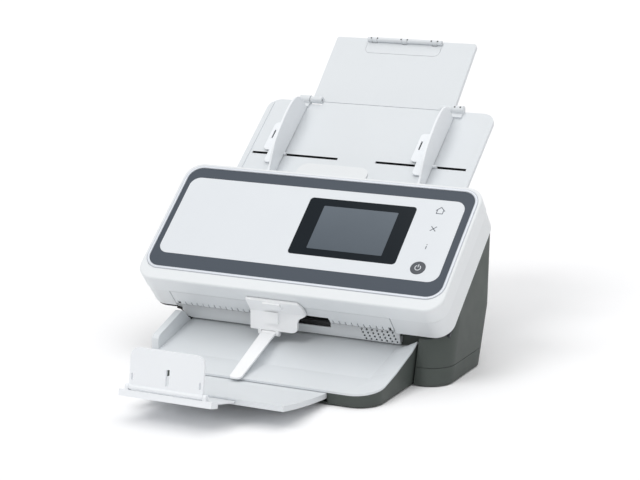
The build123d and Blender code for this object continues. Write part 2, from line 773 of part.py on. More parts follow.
# Base
def base_form(inset):
    front = (BASE_FRONT_Y, BASE_BOTTOM)
    rear = (BASE_REAR_Y, BASE_BOTTOM)
    points = (front, BASE_FRONT_TOP, BASE_REAR_TOP, BASE_REAR_UPPER, BASE_REAR_MIDDLE, rear)
    side = make_face(Polyline(*points, close=True))
    if inset:
        side = offset(side, -inset, kind=Kind.INTERSECTION)
    half = BASE_HALF - inset
    solid = extrude(Plane.YZ.offset(-half) * side, 2 * half)
    return solid & corner_form(inset)


def corner_form(inset):
    half = BASE_HALF - inset
    long = 300.0
    lean = Vector(0, BASE_FRONT_TOP[0] - BASE_FRONT_Y, BASE_FRONT_TOP[1] - BASE_BOTTOM)
    y0 = BASE_FRONT_Y + inset
    front_plan = Pos(0, y0 + long / 2, BASE_BOTTOM) * RectangleRounded(2 * half, long, BASE_FRONT_RADIUS - inset)
    front = extrude(front_plan, 200, dir=lean.normalized())
    rise = BASE_REAR_MIDDLE[1] - BASE_BOTTOM
    slope = Vector(0, BASE_REAR_MIDDLE[0] - BASE_REAR_Y, rise)
    y1 = BASE_REAR_Y - inset
    low_plan = Pos(0, y1 - long / 2, BASE_BOTTOM) * RectangleRounded(2 * half, long, BASE_REAR_RADIUS - inset)
    low = extrude(low_plan, slope.length, dir=slope.normalized())
    climb = Vector(0, BASE_REAR_UPPER[0] - BASE_REAR_MIDDLE[0], BASE_REAR_UPPER[1] - BASE_REAR_MIDDLE[1])
    y2 = BASE_REAR_MIDDLE[0] - inset
    z2 = BASE_REAR_MIDDLE[1]
    high_plan = Pos(0, y2 - long / 2, z2) * RectangleRounded(2 * half, long, BASE_REAR_RADIUS - inset)
    high = extrude(high_plan, climb.length * 1.4, dir=climb.normalized())
    return front & (low + high)


def recess(grow):
    half = RECESS_HALF + grow
    return block(-half, half, -200, RECESS_Y + grow, -50, 200)


def corner_cut(near, far, grow, z0, z1):
    along = Vector(far[0] - near[0], far[1] - near[1], 0).normalized()
    inward = Vector(along.Y, -along.X, 0)
    start = Vector(near[0], near[1], z0) + inward * grow - along * 60
    end = start + along * 260
    plan = Polyline(start, end, end - inward * 150, start - inward * 150, close=True)
    return extrude(make_face(plan), z1 - z0, dir=(0, 0, 1))


def outside(grow):
    return recess(grow) + corner_cut(CUT_NEAR, CUT_FAR, grow, -50, 200)


def pocket(grow):
    x0, x1 = POCKET_X[0] - grow, POCKET_X[1] + grow
    return block(x0, x1, POCKET_Y - grow, 200, POCKET_Z[0] - grow, POCKET_Z[1] + grow)


def screw_posts(z0, z1, radius):
    return [upright(radius, x, y, z0, z1) for x, y in SCREW_PLACES]


def base_pan():
    form = base_form(0) - outside(0)
    cavity = base_form(BASE_WALL) - outside(BASE_WALL)
    split = BASE_SEAM_Z - BASE_SEAM_GAP / 2
    solid = form - cavity - block(-200, 200, -200, 200, split, 200)
    for post in screw_posts(BASE_BOTTOM + 1, split, 5.0):
        solid += post
    for x, y in SCREW_PLACES:
        solid -= upright(SCREW_RADIUS + 0.2, x, y, 0, BASE_BOTTOM + 3.0)
        solid -= upright(1.7, x, y, 0, 30.0)
    for x, y in FOOT_PLACES[:4]:
        solid -= upright(FOOT_RADIUS + 0.2, x, y, 0, FOOT_HEIGHT)
    return solid


def base_shell():
    form = base_form(0) - outside(0)
    cavity = base_form(BASE_WALL) - outside(BASE_WALL)
    frame = (pocket(BASE_WALL) & form) - pocket(0)
    form -= pocket(0)
    split = BASE_SEAM_Z + BASE_SEAM_GAP / 2
    solid = form - cavity + frame
    solid -= block(-200, 200, -200, 200, -50, split)
    low_n = DECK_N - DECK_THICK
    room = FACE * block(-DECK_HALF - DECK_GAP, DECK_HALF + DECK_GAP, DECK_FRONT - DECK_GAP, DECK_END + 1, low_n, 40)
    solid -= room
    solid -= TRAY * block(PATH_X - INPUT_HALF - 0.8, PATH_X + INPUT_HALF + 0.8, -90, 0, -INPUT_THICK, 60)
    for post in screw_posts(BASE_SEAM_Z - BASE_SEAM_GAP / 2, split + 20, 5.0):
        solid += post
    for x, y in SCREW_PLACES:
        side = math.copysign(BASE_HALF - 1, x)
        far = (side, y + 1) if abs(x) > 100 else (x + 1, BASE_REAR_MIDDLE[0])
        near = (x, y - 1) if abs(x) > 100 else (x - 1, y)
        rib_x = sorted((near[0], far[0]))
        solid += block(rib_x[0], rib_x[1], near[1], far[1], split, split + 20) & form
    for x, y in SCREW_PLACES:
        solid -= upright(1.3, x, y, 0, split + 15)
    solid -= socket_hole(INLET_X, (2 * INLET_RADIUS, 2 * INLET_RADIUS))
    solid -= socket_hole(USB_X, USB_SIZE)
    solid -= socket_hole(NETWORK_X, NETWORK_SIZE)
    for index in range(9):
        x = -105.0 + 10.0 * index
        solid -= block(x, x + 4.0, 100, 140, 74.0, 96.0)
    return solid


def socket_hole(x, size):
    half_x, half_z = size[0] / 2 + 0.15, size[1] / 2 + 0.15
    return block(x - half_x, x + half_x, 90, 140, SOCKET_Z - half_z, SOCKET_Z + half_z)


def socket(x, size, cavity):
    y1 = POCKET_Y + 0.6
    y0 = y1 - SOCKET_DEPTH
    body = block(x - size[0] / 2, x + size[0] / 2, y0, y1, SOCKET_Z - size[1] / 2, SOCKET_Z + size[1] / 2)
    hole_z0, hole_z1 = SOCKET_Z - cavity[1] / 2, SOCKET_Z + cavity[1] / 2
    return body - block(x - cavity[0] / 2, x + cavity[0] / 2, y0 + 3, y1 + 1, hole_z0, hole_z1)


def power_inlet():
    y1 = POCKET_Y + 0.6
    size = 2 * INLET_RADIUS
    body = block(INLET_X - size / 2, INLET_X + size / 2, y1 - SOCKET_DEPTH, y1, SOCKET_Z - size / 2, SOCKET_Z + size / 2)
    axis = (90, 0, 0)
    bore = Location((INLET_X, y1 + 1, SOCKET_Z), axis) * Cylinder(INLET_BORE, 10, align=(Align.CENTER, Align.CENTER, Align.MIN))
    pin = Location((INLET_X, y1 - 1, SOCKET_Z), axis) * Cylinder(INLET_PIN, 9, align=(Align.CENTER, Align.CENTER, Align.MIN))
    return body - bore + pin


def rubber_feet():
    return [upright(FOOT_RADIUS, x, y, 0, FOOT_HEIGHT) for x, y in FOOT_PLACES]


def case_screws():
    solids = []
    for x, y in SCREW_PLACES:
        head = upright(SCREW_RADIUS, x, y, BASE_BOTTOM + 1.0, BASE_BOTTOM + 3.0)
        shank = upright(1.3, x, y, BASE_BOTTOM + 1.0, BASE_SEAM_Z + 12)
        cross = block(x - 1.8, x + 1.8, y - 0.4, y + 0.4, 0, BASE_BOTTOM + 2.0)
        cross += block(x - 0.4, x + 0.4, y - 1.8, y + 1.8, 0, BASE_BOTTOM + 2.0)
        solids.append(head + shank - cross)
    return solids


def main_board():
    x1, y1 = BOARD_X + BOARD_LENGTH, BOARD_Y + BOARD_WIDTH
    solid = block(BOARD_X, x1, BOARD_Y, y1, BOARD_Z, BOARD_Z + BOARD_THICK)
    for x, y, size, height in ((10, 8, 18, 2.0), (50, 12, 14, 1.6), (90, 20, 22, 6.0), (124, 10, 12, 9.0)):
        z = BOARD_Z + BOARD_THICK
        solid += block(BOARD_X + x, BOARD_X + x + size, BOARD_Y + y, BOARD_Y + y + size, z - 0.2, z + height)
    for x in (6.0, BOARD_LENGTH - 6.0):
        for y in (5.0, BOARD_WIDTH - 5.0):
            solid += upright(2.5, BOARD_X + x, BOARD_Y + y, BASE_BOTTOM + BASE_WALL, BOARD_Z + 0.2)
    return solid


# Exit cover with sound holes, and the black roller guard behind it
def exit_cover():
    top_y, top_z = face_point(DECK_FRONT - 2.6, DECK_N + 0.3)
    low_y, low_z = EXIT_FOOT
    outer = ThreePointArc((top_y, top_z), (top_y + 0.2, (top_z + low_z) / 2 + 1), (low_y, low_z))
    inner = ThreePointArc((low_y + EXIT_THICK, low_z), (top_y + 0.2 + EXIT_THICK, (top_z + low_z) / 2 + 1), (top_y + EXIT_THICK, top_z))
    outline = make_face([outer, Line(outer @ 1, inner @ 0), inner, Line(inner @ 1, outer @ 0)])
    solid = extrude(Plane.YZ.offset(EXIT_LEFT) * outline, EXIT_RIGHT - EXIT_LEFT)
    for x in (EXIT_LEFT + 12.0, -60.0, 45.0, EXIT_RIGHT - EXIT_THICK):
        solid += block(x, x + EXIT_THICK, top_y + EXIT_THICK - 0.4, RECESS_Y, low_z + 1.5, top_z - 5)
    for row in range(GRILLE_ROWS):
        for column in range(GRILLE_COLUMNS):
            x = GRILLE_X + GRILLE_SHIFT * row + GRILLE_PITCH * column
            z = GRILLE_Z - 1.5 - GRILLE_ROW * row
            hole = Cylinder(GRILLE_RADIUS, 30, align=(Align.CENTER, Align.CENTER, Align.CENTER))
            solid -= Location((x, top_y, z), (90, 0, 0)) * hole
    low, high = EXIT_SLANT[-1][1] - 3, EXIT_SLANT[0][1]
    slant = make_face(Polyline(*EXIT_SLANT, (EXIT_SLANT[-1][0], low), (EXIT_LEFT - 9, low), (EXIT_LEFT - 9, high), close=True))
    solid -= extrude(Plane.XZ.offset(-60) * slant, 60)
    return solid - block(WINDOW_LEFT - 3, WINDOW_RIGHT - 4, 0, 60, top_z - EXIT_NOTCH, 60)


def exit_guard():
    x0, x1 = WINDOW_LEFT - 2.6, WINDOW_RIGHT - 4.4
    deck_y, deck_z = face_point(DECK_FRONT - 0.3, DECK_N)
    points = (
        (deck_y + 0.65, deck_z - 6.5),
        (deck_y + 0.65, deck_z - 1.2),
        face_point(DECK_FRONT - 0.4, DECK_N + 0.5),
        face_point(LIP_BACK, DECK_N + 0.5),
        face_point(LIP_BACK, DECK_N),
        face_point(DECK_FRONT, DECK_N),
        face_point(DECK_FRONT, DECK_N - DECK_THICK),
        (deck_y + 1.85, deck_z - 6.5),
    )
    guard = prism(points, x0, x1)
    curtain = FACE * block(WINDOW_LEFT - 1, WINDOW_RIGHT + 1, -8.4, -7.0, -38.5, LIP_TOP - 2.0)
    return [guard, curtain]


# Output tray
def dish_floor_points():
    return ((TRAY_REAR, DISH_REAR_Z + 0.8), DISH_BEND, (TRAY_FRONT, DISH_FRONT_Z))


def dish_floor(y):
    rear, bend, front = dish_floor_points()
    near, far = (bend, rear) if y > bend[0] else (front, bend)
    return near[1] + (far[1] - near[1]) * (y - near[0]) / (far[0] - near[0])


def shoulder_points():
    side = ((21.6, 34.5), (16.0, 37.0), (6.0, 31.7), (-17.4, 24.6), (-28.0, 21.2), (-52.0, 15.6))
    rear = (TRAY_REAR + 1, dish_floor(TRAY_REAR + 1) + 0.2)
    return (rear,) + side + ((TRAY_FRONT - 5, DISH_FRONT_Z + 0.3),)


def left_wall_points():
    rear = ((25.0, 28.7), (21.3, 30.2), (17.3, 34.2), (13.5, 37.5), (9.5, 39.0))
    front = ((-29.0, 26.6), (-31.6, 25.2), (-33.2, 22.8), (-33.6, 19.0))
    low = [(y, dish_floor(y) - TRAY_FLOOR) for y in (front[-1][0], DISH_BEND[0], TRAY_REAR)]
    return rear + front + tuple(low) + ((TRAY_REAR, dish_floor(TRAY_REAR)),)


def dish_form(drop):
    side = shoulder_points()
    ends = ((side[-1][0], -20.0), (side[0][0], -20.0))
    edge = [(y, z - drop) for y, z in side]
    inner = [(y, dish_floor(y) - drop) for y, z in side]
    bend = (DISH_BEND[0], DISH_BEND[1] - drop)
    floor = [inner[0], bend, inner[-1]]
    main = prism(floor + list(ends), -200, SHOULDER_X)
    sections = []
    for x, line in ((SHOULDER_X, inner), (TRAY_HALF + 1, edge)):
        sections.append(make_face(Plane.YZ.offset(x) * Polyline(*line, *ends, close=True)))
    return main + loft(sections, ruled=True)


def footprint(inset, z0, z1):
    half = TRAY_HALF - inset
    y0, y1 = TRAY_FRONT + inset, TRAY_REAR + 60
    solid = plate(-half, half, y0, y1, z0, z1, TRAY_CORNER - inset)
    solid -= block(-200, 200, TRAY_REAR, 200, z0 - 1, z1 + 1)
    return solid - corner_cut((CORNER_FRONT_X, TRAY_FRONT), (-TRAY_HALF, CORNER_SIDE_Y), inset, z0 - 1, z1 + 1)


def output_tray():
    body = (dish_form(0) - dish_form(TRAY_FLOOR)) & footprint(0, 0, 80)
    return body + prism(left_wall_points(), -TRAY_HALF, WALL_INNER)


def tray_plinth():
    z0 = BASE_BOTTOM + PLINTH_FLOOR
    body = dish_form(TRAY_FLOOR + DISH_GAP) & footprint(0, BASE_BOTTOM, 80)
    body -= footprint(PLINTH_WALL, z0, 80) - block(-200, 200, TRAY_REAR - PLINTH_WALL, 200, 0, 90)
    body -= block(EXTENDER_LEFT - 1.0, EXTENDER_RIGHT + 1.0, TRAY_FRONT - 5, TRAY_FRONT + 10, z0, 60)
    for edge, side in ((EXTENDER_LEFT, -1), (EXTENDER_RIGHT, 1)):
        rail_x = sorted((edge - side * RAIL_UNDER, edge + side * RAIL_BESIDE))
        body += block(rail_x[0], rail_x[1], TRAY_FRONT + 6, TRAY_REAR - 1, z0 - 0.5, RAIL_TOP)
    x0, x1 = EXTENDER_LEFT - SLIDE_GAP, EXTENDER_RIGHT + SLIDE_GAP
    body -= track_plate(x0, x1, TRAY_FRONT - 8, TRAY_REAR - 6, -5, EXTENDER_THICK + SLIDE_GAP)
    for x, y in FOOT_PLACES[4:]:
        body += upright(FOOT_RADIUS + 2, x, y, BASE_BOTTOM, FOOT_HEIGHT + 1.2)
        body -= upright(FOOT_RADIUS + 0.2, x, y, 0, FOOT_HEIGHT)
    return body


# Extender on its curved track
def track_plate(x0, x1, y_front, y_inner, drop0, drop1):
    y_mid = (y_front + y_inner) / 2
    top = ThreePointArc(track_point(y_front, drop0), track_point(y_mid, drop0), track_point(y_inner, drop0))
    low = ThreePointArc(track_point(y_inner, drop1), track_point(y_mid, drop1), track_point(y_front, drop1))
    outline = make_face([top, Line(top @ 1, low @ 0), low, Line(low @ 1, top @ 0)])
    return extrude(Plane.YZ.offset(x0) * outline, x1 - x0)


def output_extender():
    body = track_plate(EXTENDER_LEFT, EXTENDER_RIGHT, EXTENDER_FRONT_Y, EXTENDER_INNER_Y, 0, EXTENDER_THICK)
    x0, x1 = TONGUE_LEFT - SLIDE_GAP, TONGUE_RIGHT + SLIDE_GAP
    low = EXTENDER_THICK - EXTENDER_SKIN
    return body - track_plate(x0, x1, EXTENDER_FRONT_Y - 5, EXTENDER_INNER_Y - 3, EXTENDER_SKIN, low)


def extender_tip():
    low = EXTENDER_THICK - EXTENDER_SKIN - SLIDE_GAP
    tongue = track_plate(TONGUE_LEFT, TONGUE_RIGHT, TIP_Y - 1, TONGUE_INNER_Y, EXTENDER_SKIN + SLIDE_GAP, low)
    x0, x1 = PATH_X - TIP_HALF, PATH_X + TIP_HALF
    tip = track_plate(x0, x1, TIP_FRONT_Y, TIP_Y, TIP_DROP - 0.5, TIP_THICK + TIP_DROP - 0.5)
    y, z = stop_axis()
    for x0, x1 in stop_ears():
        tip += block(x0, x1, y - STOP_BARREL, y + STOP_BARREL, z - 4.5, z) + rod(STOP_BARREL, x0, x1, y, z)
        tip -= rod(1.2 + PIN_GAP, x0 - 1, x1 + 1, y, z)
    return tongue + tip


def stop_axis():
    y, z = track_point(STOP_AXIS_Y, TIP_DROP - 0.5)
    return y, z + STOP_BARREL + 0.8


def stop_ears():
    inner = STOP_HALF + 0.3
    return ((PATH_X - inner - 3.0, PATH_X - inner), (PATH_X + inner, PATH_X + inner + 3.0))


def end_stop():
    y, z = stop_axis()
    half = STOP_HALF
    outline = RectangleRounded(2 * half, 2 * STOP_HEIGHT, STOP_CORNER)
    panel = extrude(outline, STOP_THICK / 2, both=True)
    panel -= block(-half - 1, half + 1, -STOP_HEIGHT - 1, 0, -5, 5)
    for x, low, high, wide in zip(STOP_SLOTS, (6.0, 4.5, 6.0), (11.5, 18.0, 11.5), (1.8, 3.4, 1.8)):
        slot = Pos(x, (low + high) / 2, 0) * Box(wide, high - low, 10)
        panel -= slot
    panel = Location((PATH_X, y, z), (90 - STOP_LEAN, 0, 0)) * panel
    barrel = rod(STOP_BARREL, PATH_X - half, PATH_X + half, y, z)
    stubs = rod(1.2, PATH_X - half - 3.0, PATH_X + half + 3.0, y, z)
    return panel + barrel + stubs


# Stacking bracket and arm
def stacking_bracket():
    v_in = SLAB_FRONT - CLIP_GAP
    v_out = v_in - CLIP_THICK
    inner_y = CLIP_Y + CLIP_THICK
    bend_in = (inner_y, line_height(v_in, inner_y))
    bend_out = (CLIP_Y, line_height(v_out, CLIP_Y))
    points = (face_point(v_in, CLIP_TOP_N), bend_in, (inner_y, CLIP_FOOT_Z), (CLIP_Y, CLIP_FOOT_Z), bend_out, face_point(v_out, CLIP_TOP_N))
    strip = prism(points, CLIP_LEFT, CLIP_RIGHT)
    strip &= clip_outline()
    hook_low = WINDOW_TOP - 2.4
    hook = block(-30, CLIP_RIGHT - 10, -21.3, -9.6, hook_low, WINDOW_TOP)
    hook = FACE * (hook + block(-30, CLIP_RIGHT - 10, -11.6, -9.6, hook_low, WINDOW_TOP + 5.5))
    solid = strip + hook
    solid += FACE * block(-20, -3, v_out - 2.0, v_out + 0.5, -18.0, -11.0)
    solid += block(-23, -9, CLIP_Y - 2.2, CLIP_Y + 0.5, 40.5, 51.0)
    for x0 in (ARM_LEFT - 3.3, ARM_LEFT + ARM_WIDTH + 0.3):
        ear = block(x0, x0 + 3.0, ARM_PIVOT_Y - ARM_BARREL, ARM_PIVOT_Y + ARM_BARREL, ARM_PIVOT_Z, CLIP_FOOT_Z + 0.5)
        ear += rod(ARM_BARREL, x0, x0 + 3.0, ARM_PIVOT_Y, ARM_PIVOT_Z)
        solid += ear
        solid -= rod(ARM_STUB + PIN_GAP, x0 - 1, x0 + 4, ARM_PIVOT_Y, ARM_PIVOT_Z)
    return solid


def line_height(v, y):
    n = (COS_FACE * v - y) / SIN_FACE
    return face_point(v, n)[1]


def clip_outline():
    foot, top = CLIP_FOOT_Z, 66.0
    right = CLIP_RIGHT
    edge = Polyline((right - 10, top), (CLIP_LEFT, top), (CLIP_LEFT, foot), (right - 14, foot))
    curve = Spline((right - 14, foot), (right - 8.5, 36.5), (right - 7, 46), (right - 0.8, 50), (right, 57), (right - 3, 63.0), (right - 10, top))
    outline = make_face([edge, curve])
    return extrude(Plane.XZ.offset(-40) * outline, 80)


def stacking_arm():
    run = ARM_PIVOT_Y - ARM_TIP_Y
    fall = ARM_PIVOT_Z - ARM_TIP_Z
    length = math.hypot(run, fall)
    slope = math.degrees(math.atan2(fall, run))
    x0, x1 = ARM_LEFT, ARM_LEFT + ARM_WIDTH
    tip = x0 + ARM_SHIFT
    edge = Polyline((x0, 0), (x1, 0), (x1, -ARM_NECK), (tip + ARM_TIP_WIDTH, -length), (tip, -length), (x0, -ARM_NECK), close=True)
    outline = fillet(make_face(edge).vertices().sort_by(Axis.Y)[:2], 4.0)
    strip = extrude(outline, ARM_THICK / 2, both=True)
    strip = Location((0, ARM_PIVOT_Y, ARM_PIVOT_Z), (slope, 0, 0)) * strip
    barrel = rod(ARM_BARREL, x0, x1, ARM_PIVOT_Y, ARM_PIVOT_Z)
    return strip + barrel + rod(ARM_STUB, x0 - 3.1, x1 + 3.1, ARM_PIVOT_Y, ARM_PIVOT_Z)


# Input tray in its own frame
def input_tray():
    x0, x1 = PATH_X - INPUT_HALF, PATH_X + INPUT_HALF
    solid = plate(x0, x1, INPUT_LOW - 40, INPUT_HIGH, -INPUT_THICK, 0, INPUT_CORNER)
    rims = plate(x0, x1, INPUT_LOW - 40, INPUT_HIGH, -0.5, RIM_HEIGHT, INPUT_CORNER)
    rims -= block(x0 + RIM_WIDTH, x1 - RIM_WIDTH, -150, 100, -2, 5)
    rims -= block(x0 - 1, x1 + 1, -150, -48, -2, 5)
    rims -= block(x0 - 1, x1 + 1, INPUT_HIGH - 5.0, 100, -2, 5)
    solid = solid + rims - block(x0 - 1, x1 + 1, -150, INPUT_LOW, -10, 10)
    for side in (-1, 1):
        slot_x = (PATH_X + side * SLOT_INNER, PATH_X + side * SLOT_OUTER)
        solid -= block(min(slot_x), max(slot_x), SLOT_S - SLOT_WIDTH / 2, SLOT_S + SLOT_WIDTH / 2, -10, 10)
        inner = EXT_HALF + BOSS_GAP
        boss_x = sorted((PATH_X + side * inner, PATH_X + side * (inner + BOSS_WIDTH)))
        solid += block(boss_x[0], boss_x[1], EXT_S - 9.0, EXT_S, -INPUT_THICK, EXT_H)
        solid += rod(BOSS_RADIUS, boss_x[0], boss_x[1], EXT_S, EXT_H)
        bore_x = sorted((PATH_X + side * (inner - 1), PATH_X + side * (inner + BOSS_WIDTH - 1.5)))
        solid -= rod(PIN_RADIUS, bore_x[0], bore_x[1], EXT_S, EXT_H)
        lug_x = sorted((PATH_X + side * (EXT_HALF - LUG_WIDTH - BOSS_GAP), PATH_X + side * inner))
        solid -= block(lug_x[0], lug_x[1], EXT_S - LUG_RADIUS - 0.6, 100, -10, 10)
    for offset in (-96, -48, 48, 96):
        for s0, s1 in ((INPUT_LOW + 16, BOX_LOW - 0.3), (BOX_HIGH + 0.3, INPUT_HIGH - 10)):
            x = PATH_X + offset
            solid += block(x, x + 2, s0, s1, -INPUT_THICK - RIB_DEPTH, -INPUT_THICK + 0.5)
    return solid


def tray_lugs():
    solids = []
    for side in (-LUG_X, LUG_X):
        x = PATH_X + side
        solids.append(block(x - 6, x + 6, LUG_Y, LUG_Y + LUG_THICK, LUG_LOW, LUG_TOP))
    return solids


def tray_back():
    x0, x1 = PATH_X - SLOT_OUTER - 1.5, PATH_X + SLOT_OUTER + 1.5
    outer = block(x0, x1, BOX_LOW, BOX_HIGH, -BOX_DEPTH, -INPUT_THICK)
    inner = block(x0 + BOX_SKIN, x1 - BOX_SKIN, BOX_LOW + BOX_SKIN, BOX_HIGH - BOX_SKIN, -BOX_DEPTH + BOX_SKIN, 0)
    solid = outer - inner
    low = RACK_TOP - RACK_THICK - 0.3
    solid += upright(5.0, PATH_X, SLOT_S, -BOX_DEPTH + 1, low)
    return solid + upright(PINION_BORE, PATH_X, SLOT_S, -BOX_DEPTH + 1, RACK_TOP)


def fin_outline():
    top = Spline((FIN_LOW, 8.0), (-28.0, 13.5), (-8.0, 23.0), (18.0, FIN_PEAK - 0.5), (40.0, FIN_PEAK), (52.0, 25.0), (FIN_HIGH, 6.0))
    sides = Polyline((FIN_HIGH, 6.0), (FIN_HIGH + 1, FOOT_GAP), (FIN_LOW, FOOT_GAP), (FIN_LOW, 8.0))
    return make_face([top, sides])


def side_guide(side):
    inner = PATH_X + side * GUIDE_HALF
    x0, x1 = sorted((inner, inner + side * FIN_THICK))
    fin = extrude(Plane.YZ.offset(x0) * fin_outline(), FIN_THICK)
    top = FOOT_GAP + FOOT_THICK
    foot = plate(x0 - FOOT_WIDTH, x0 + 6, 2.0, 38.0, FOOT_GAP, top, 4.0)
    foot += plate(x0 - FOOT_WIDTH + 7, x0 + 6, -14.0, 12.0, FOOT_GAP, top, 4.0)
    foot -= block(x1, x1 + 20, -20, 60, -5, 20)
    foot -= block(x0 - FOOT_WIDTH + 3.0, x0 - FOOT_WIDTH + 4.6, 17.0, 28.0, 0, 5)
    stem_x = sorted((inner - side * 2.0, inner - side * 2.0 + side * STEM_LENGTH))
    half = SLOT_WIDTH / 2 - STEM_GAP
    stem = block(stem_x[0], stem_x[1], SLOT_S - half, SLOT_S + half, RACK_TOP - RACK_THICK, top)
    return fin + foot + stem + guide_rack(side, stem_x)


def guide_rack(side, stem_x):
    pitch = math.pi * MODULE
    radius = MODULE * PINION_TEETH / 2
    root = radius + TOOTH_DEPTH
    z0, z1 = RACK_TOP - RACK_THICK, RACK_TOP
    bar_x = sorted((stem_x[0] if side < 0 else stem_x[1], PATH_X - side * RACK_REACH))
    up = -side
    bar_s = sorted((SLOT_S + up * root, SLOT_S + up * (root + RACK_BODY)))
    web_s = sorted((SLOT_S, SLOT_S + up * (root + RACK_BODY)))
    solid = block(bar_x[0], bar_x[1], bar_s[0], bar_s[1], z0, z1)
    solid += block(stem_x[0], stem_x[1], web_s[0], web_s[1], z0, z1)
    reach = int((abs(stem_x[0] - PATH_X) - 8.0) / pitch)
    first, last = (-reach, 12) if side < 0 else (-12, reach)
    for index in range(first, last):
        x = PATH_X + (index + 0.5) * pitch
        tooth = make_face(Polyline(
            (x - TOOTH_ROOT / 2, SLOT_S + up * (root + 0.2)), (x + TOOTH_ROOT / 2, SLOT_S + up * (root + 0.2)),
            (x + TOOTH_TIP / 2, SLOT_S + up * (radius - TOOTH_HEIGHT)),
            (x - TOOTH_TIP / 2, SLOT_S + up * (radius - TOOTH_HEIGHT)), close=True))
        solid += extrude(Pos(0, 0, z0) * tooth, z1 - z0)
    return solid


def guide_pinion():
    radius = MODULE * PINION_TEETH / 2
    root = radius - TOOTH_DEPTH
    z0, z1 = RACK_TOP - RACK_THICK, RACK_TOP - 0.2
    solid = upright(root, 0, 0, z0, z1)
    for index in range(PINION_TEETH):
        half_root, half_tip = TOOTH_ROOT / 2, TOOTH_TIP / 2
        tip = radius + TOOTH_HEIGHT
        tooth = make_face(Polyline((root - 0.5, -half_root), (root, -half_root), (tip, -half_tip), (tip, half_tip), (root, half_root), (root - 0.5, half_root), close=True))
        angle = 90 + 360 / PINION_TEETH * index
        solid += Rot(0, 0, angle) * extrude(Pos(0, 0, z0) * tooth, z1 - z0)
    solid -= upright(PINION_BORE + PIN_GAP, 0, 0, z0 - 1, z1 + 1)
    return Pos(PATH_X, SLOT_S, 0) * solid


# Extension in its own frame, whose X axis is the hinge line
def tray_extension():
    x0, x1 = PATH_X - EXT_HALF, PATH_X + EXT_HALF
    low = EXT_TOP - EXT_THICK
    solid = block(x0, x1, 0.3, EXT_LENGTH, low, EXT_TOP)
    corners = solid.edges().filter_by(Axis.Z).group_by(Axis.Y)[-1]
    solid = fillet(corners, 2.5)
    for side in (-1, 1):
        lug_x = sorted((PATH_X + side * EXT_HALF, PATH_X + side * (EXT_HALF - LUG_WIDTH)))
        solid += block(lug_x[0], lug_x[1], 0.3, LUG_RADIUS, EXT_TOP - 1, 0) + rod(LUG_RADIUS, lug_x[0], lug_x[1], 0, 0)
        solid -= rod(PIN_RADIUS + PIN_GAP, lug_x[0] - 1, lug_x[1] + 1, 0, 0)
    tab_x0, tab_x1 = PATH_X - TAB_HALF - TAB_GAP, PATH_X + TAB_HALF + TAB_GAP
    floor = TAB_AXIS_H - TAB_BARREL - TAB_THICK - 0.2
    solid -= plate(tab_x0, tab_x1, TAB_LOW - TAB_GAP, EXT_LENGTH + 30, floor, 20, 6.0)
    for offset in TAB_EARS:
        x = PATH_X + offset
        ear_x = (x - TAB_EAR_WIDTH / 2, x + TAB_EAR_WIDTH / 2)
        solid += block(ear_x[0], ear_x[1], TAB_AXIS - TAB_BARREL, EXT_LENGTH, low, TAB_AXIS_H)
        solid += rod(TAB_BARREL, ear_x[0], ear_x[1], TAB_AXIS, TAB_AXIS_H)
    return solid - rod(TAB_PIN, tab_x0 - 1, tab_x1 + 1, TAB_AXIS, TAB_AXIS_H)


def extension_pins():
    solids = []
    for side in (-1, 1):
        pin_x = sorted((PATH_X + side * (EXT_HALF + BOSS_WIDTH - 1.2), PATH_X + side * (EXT_HALF - LUG_WIDTH + 1)))
        solids.append(rod(PIN_RADIUS, pin_x[0], pin_x[1], EXT_S, EXT_H))
    return solids


def flip_tab():
    x0, x1 = PATH_X - TAB_HALF, PATH_X + TAB_HALF
    top = TAB_AXIS_H - TAB_BARREL
    solid = plate(x0, x1, TAB_LOW, TAB_AXIS + 20, top - TAB_THICK + 0.2, top + 0.4, 5.5)
    solid -= block(x0 - 1, x1 + 1, TAB_AXIS, 150, -20, 20)
    solid += rod(TAB_BARREL, x0, x1, TAB_AXIS, TAB_AXIS_H)
    for offset in TAB_EARS:
        x = PATH_X + offset
        half = TAB_EAR_WIDTH / 2 + TAB_GAP
        solid -= block(x - half, x + half, TAB_AXIS - TAB_BARREL - 1.0, 150, -20, 20)
    return solid - rod(TAB_PIN + PIN_GAP, x0 - 1, x1 + 1, TAB_AXIS, TAB_AXIS_H)


def flip_tab_pin():
    return rod(TAB_PIN, PATH_X - TAB_HALF + 0.5, PATH_X + TAB_HALF - 0.5, TAB_AXIS, TAB_AXIS_H)


# Writing
def save(name, shape, place=None):
    shapes = shape if isinstance(shape, list) else [shape]
    moved = [place * item for item in shapes] if place else shapes
    solids = [solid for item in moved for solid in item.solids()]
    centred = [Pos(0, CENTRE_Y, 0) * solid for solid in solids]
    export_step(Compound(children=centred) if len(centred) > 1 else centred[0], f"parts/{name}.step")


def save_cover():
    save("cover_frame", cover_frame(), FACE)
    save("cover_back", cover_back(), FACE)
    save("cover_gasket", cover_gasket(), FACE)
    save("trim_bead", trim_bead(), FACE)
    save("ring_bezel", ring_bezel(), FACE)
    save("control_panel", control_panel(), FACE)
    save("display_glass", display_glass(), FACE)
    save("display_screen", display_screen(), FACE)
    save("power_button", power_button(), FACE)
    save("paper_hood", paper_hood(), FACE)
    save("release_slider", release_slider(), FACE)
    save("scan_bar_upper", scan_bar(-SLAB_DEPTH + BAR_GLASS, -SLAB_DEPTH + BAR_DEPTH), FACE)
    save("scan_glass_upper", scan_glass(-SLAB_DEPTH, -SLAB_DEPTH + BAR_GLASS), FACE)
    for name, v, radius, width, offsets in idler_table():
        save(name, idler(v, radius, width, offsets), FACE)


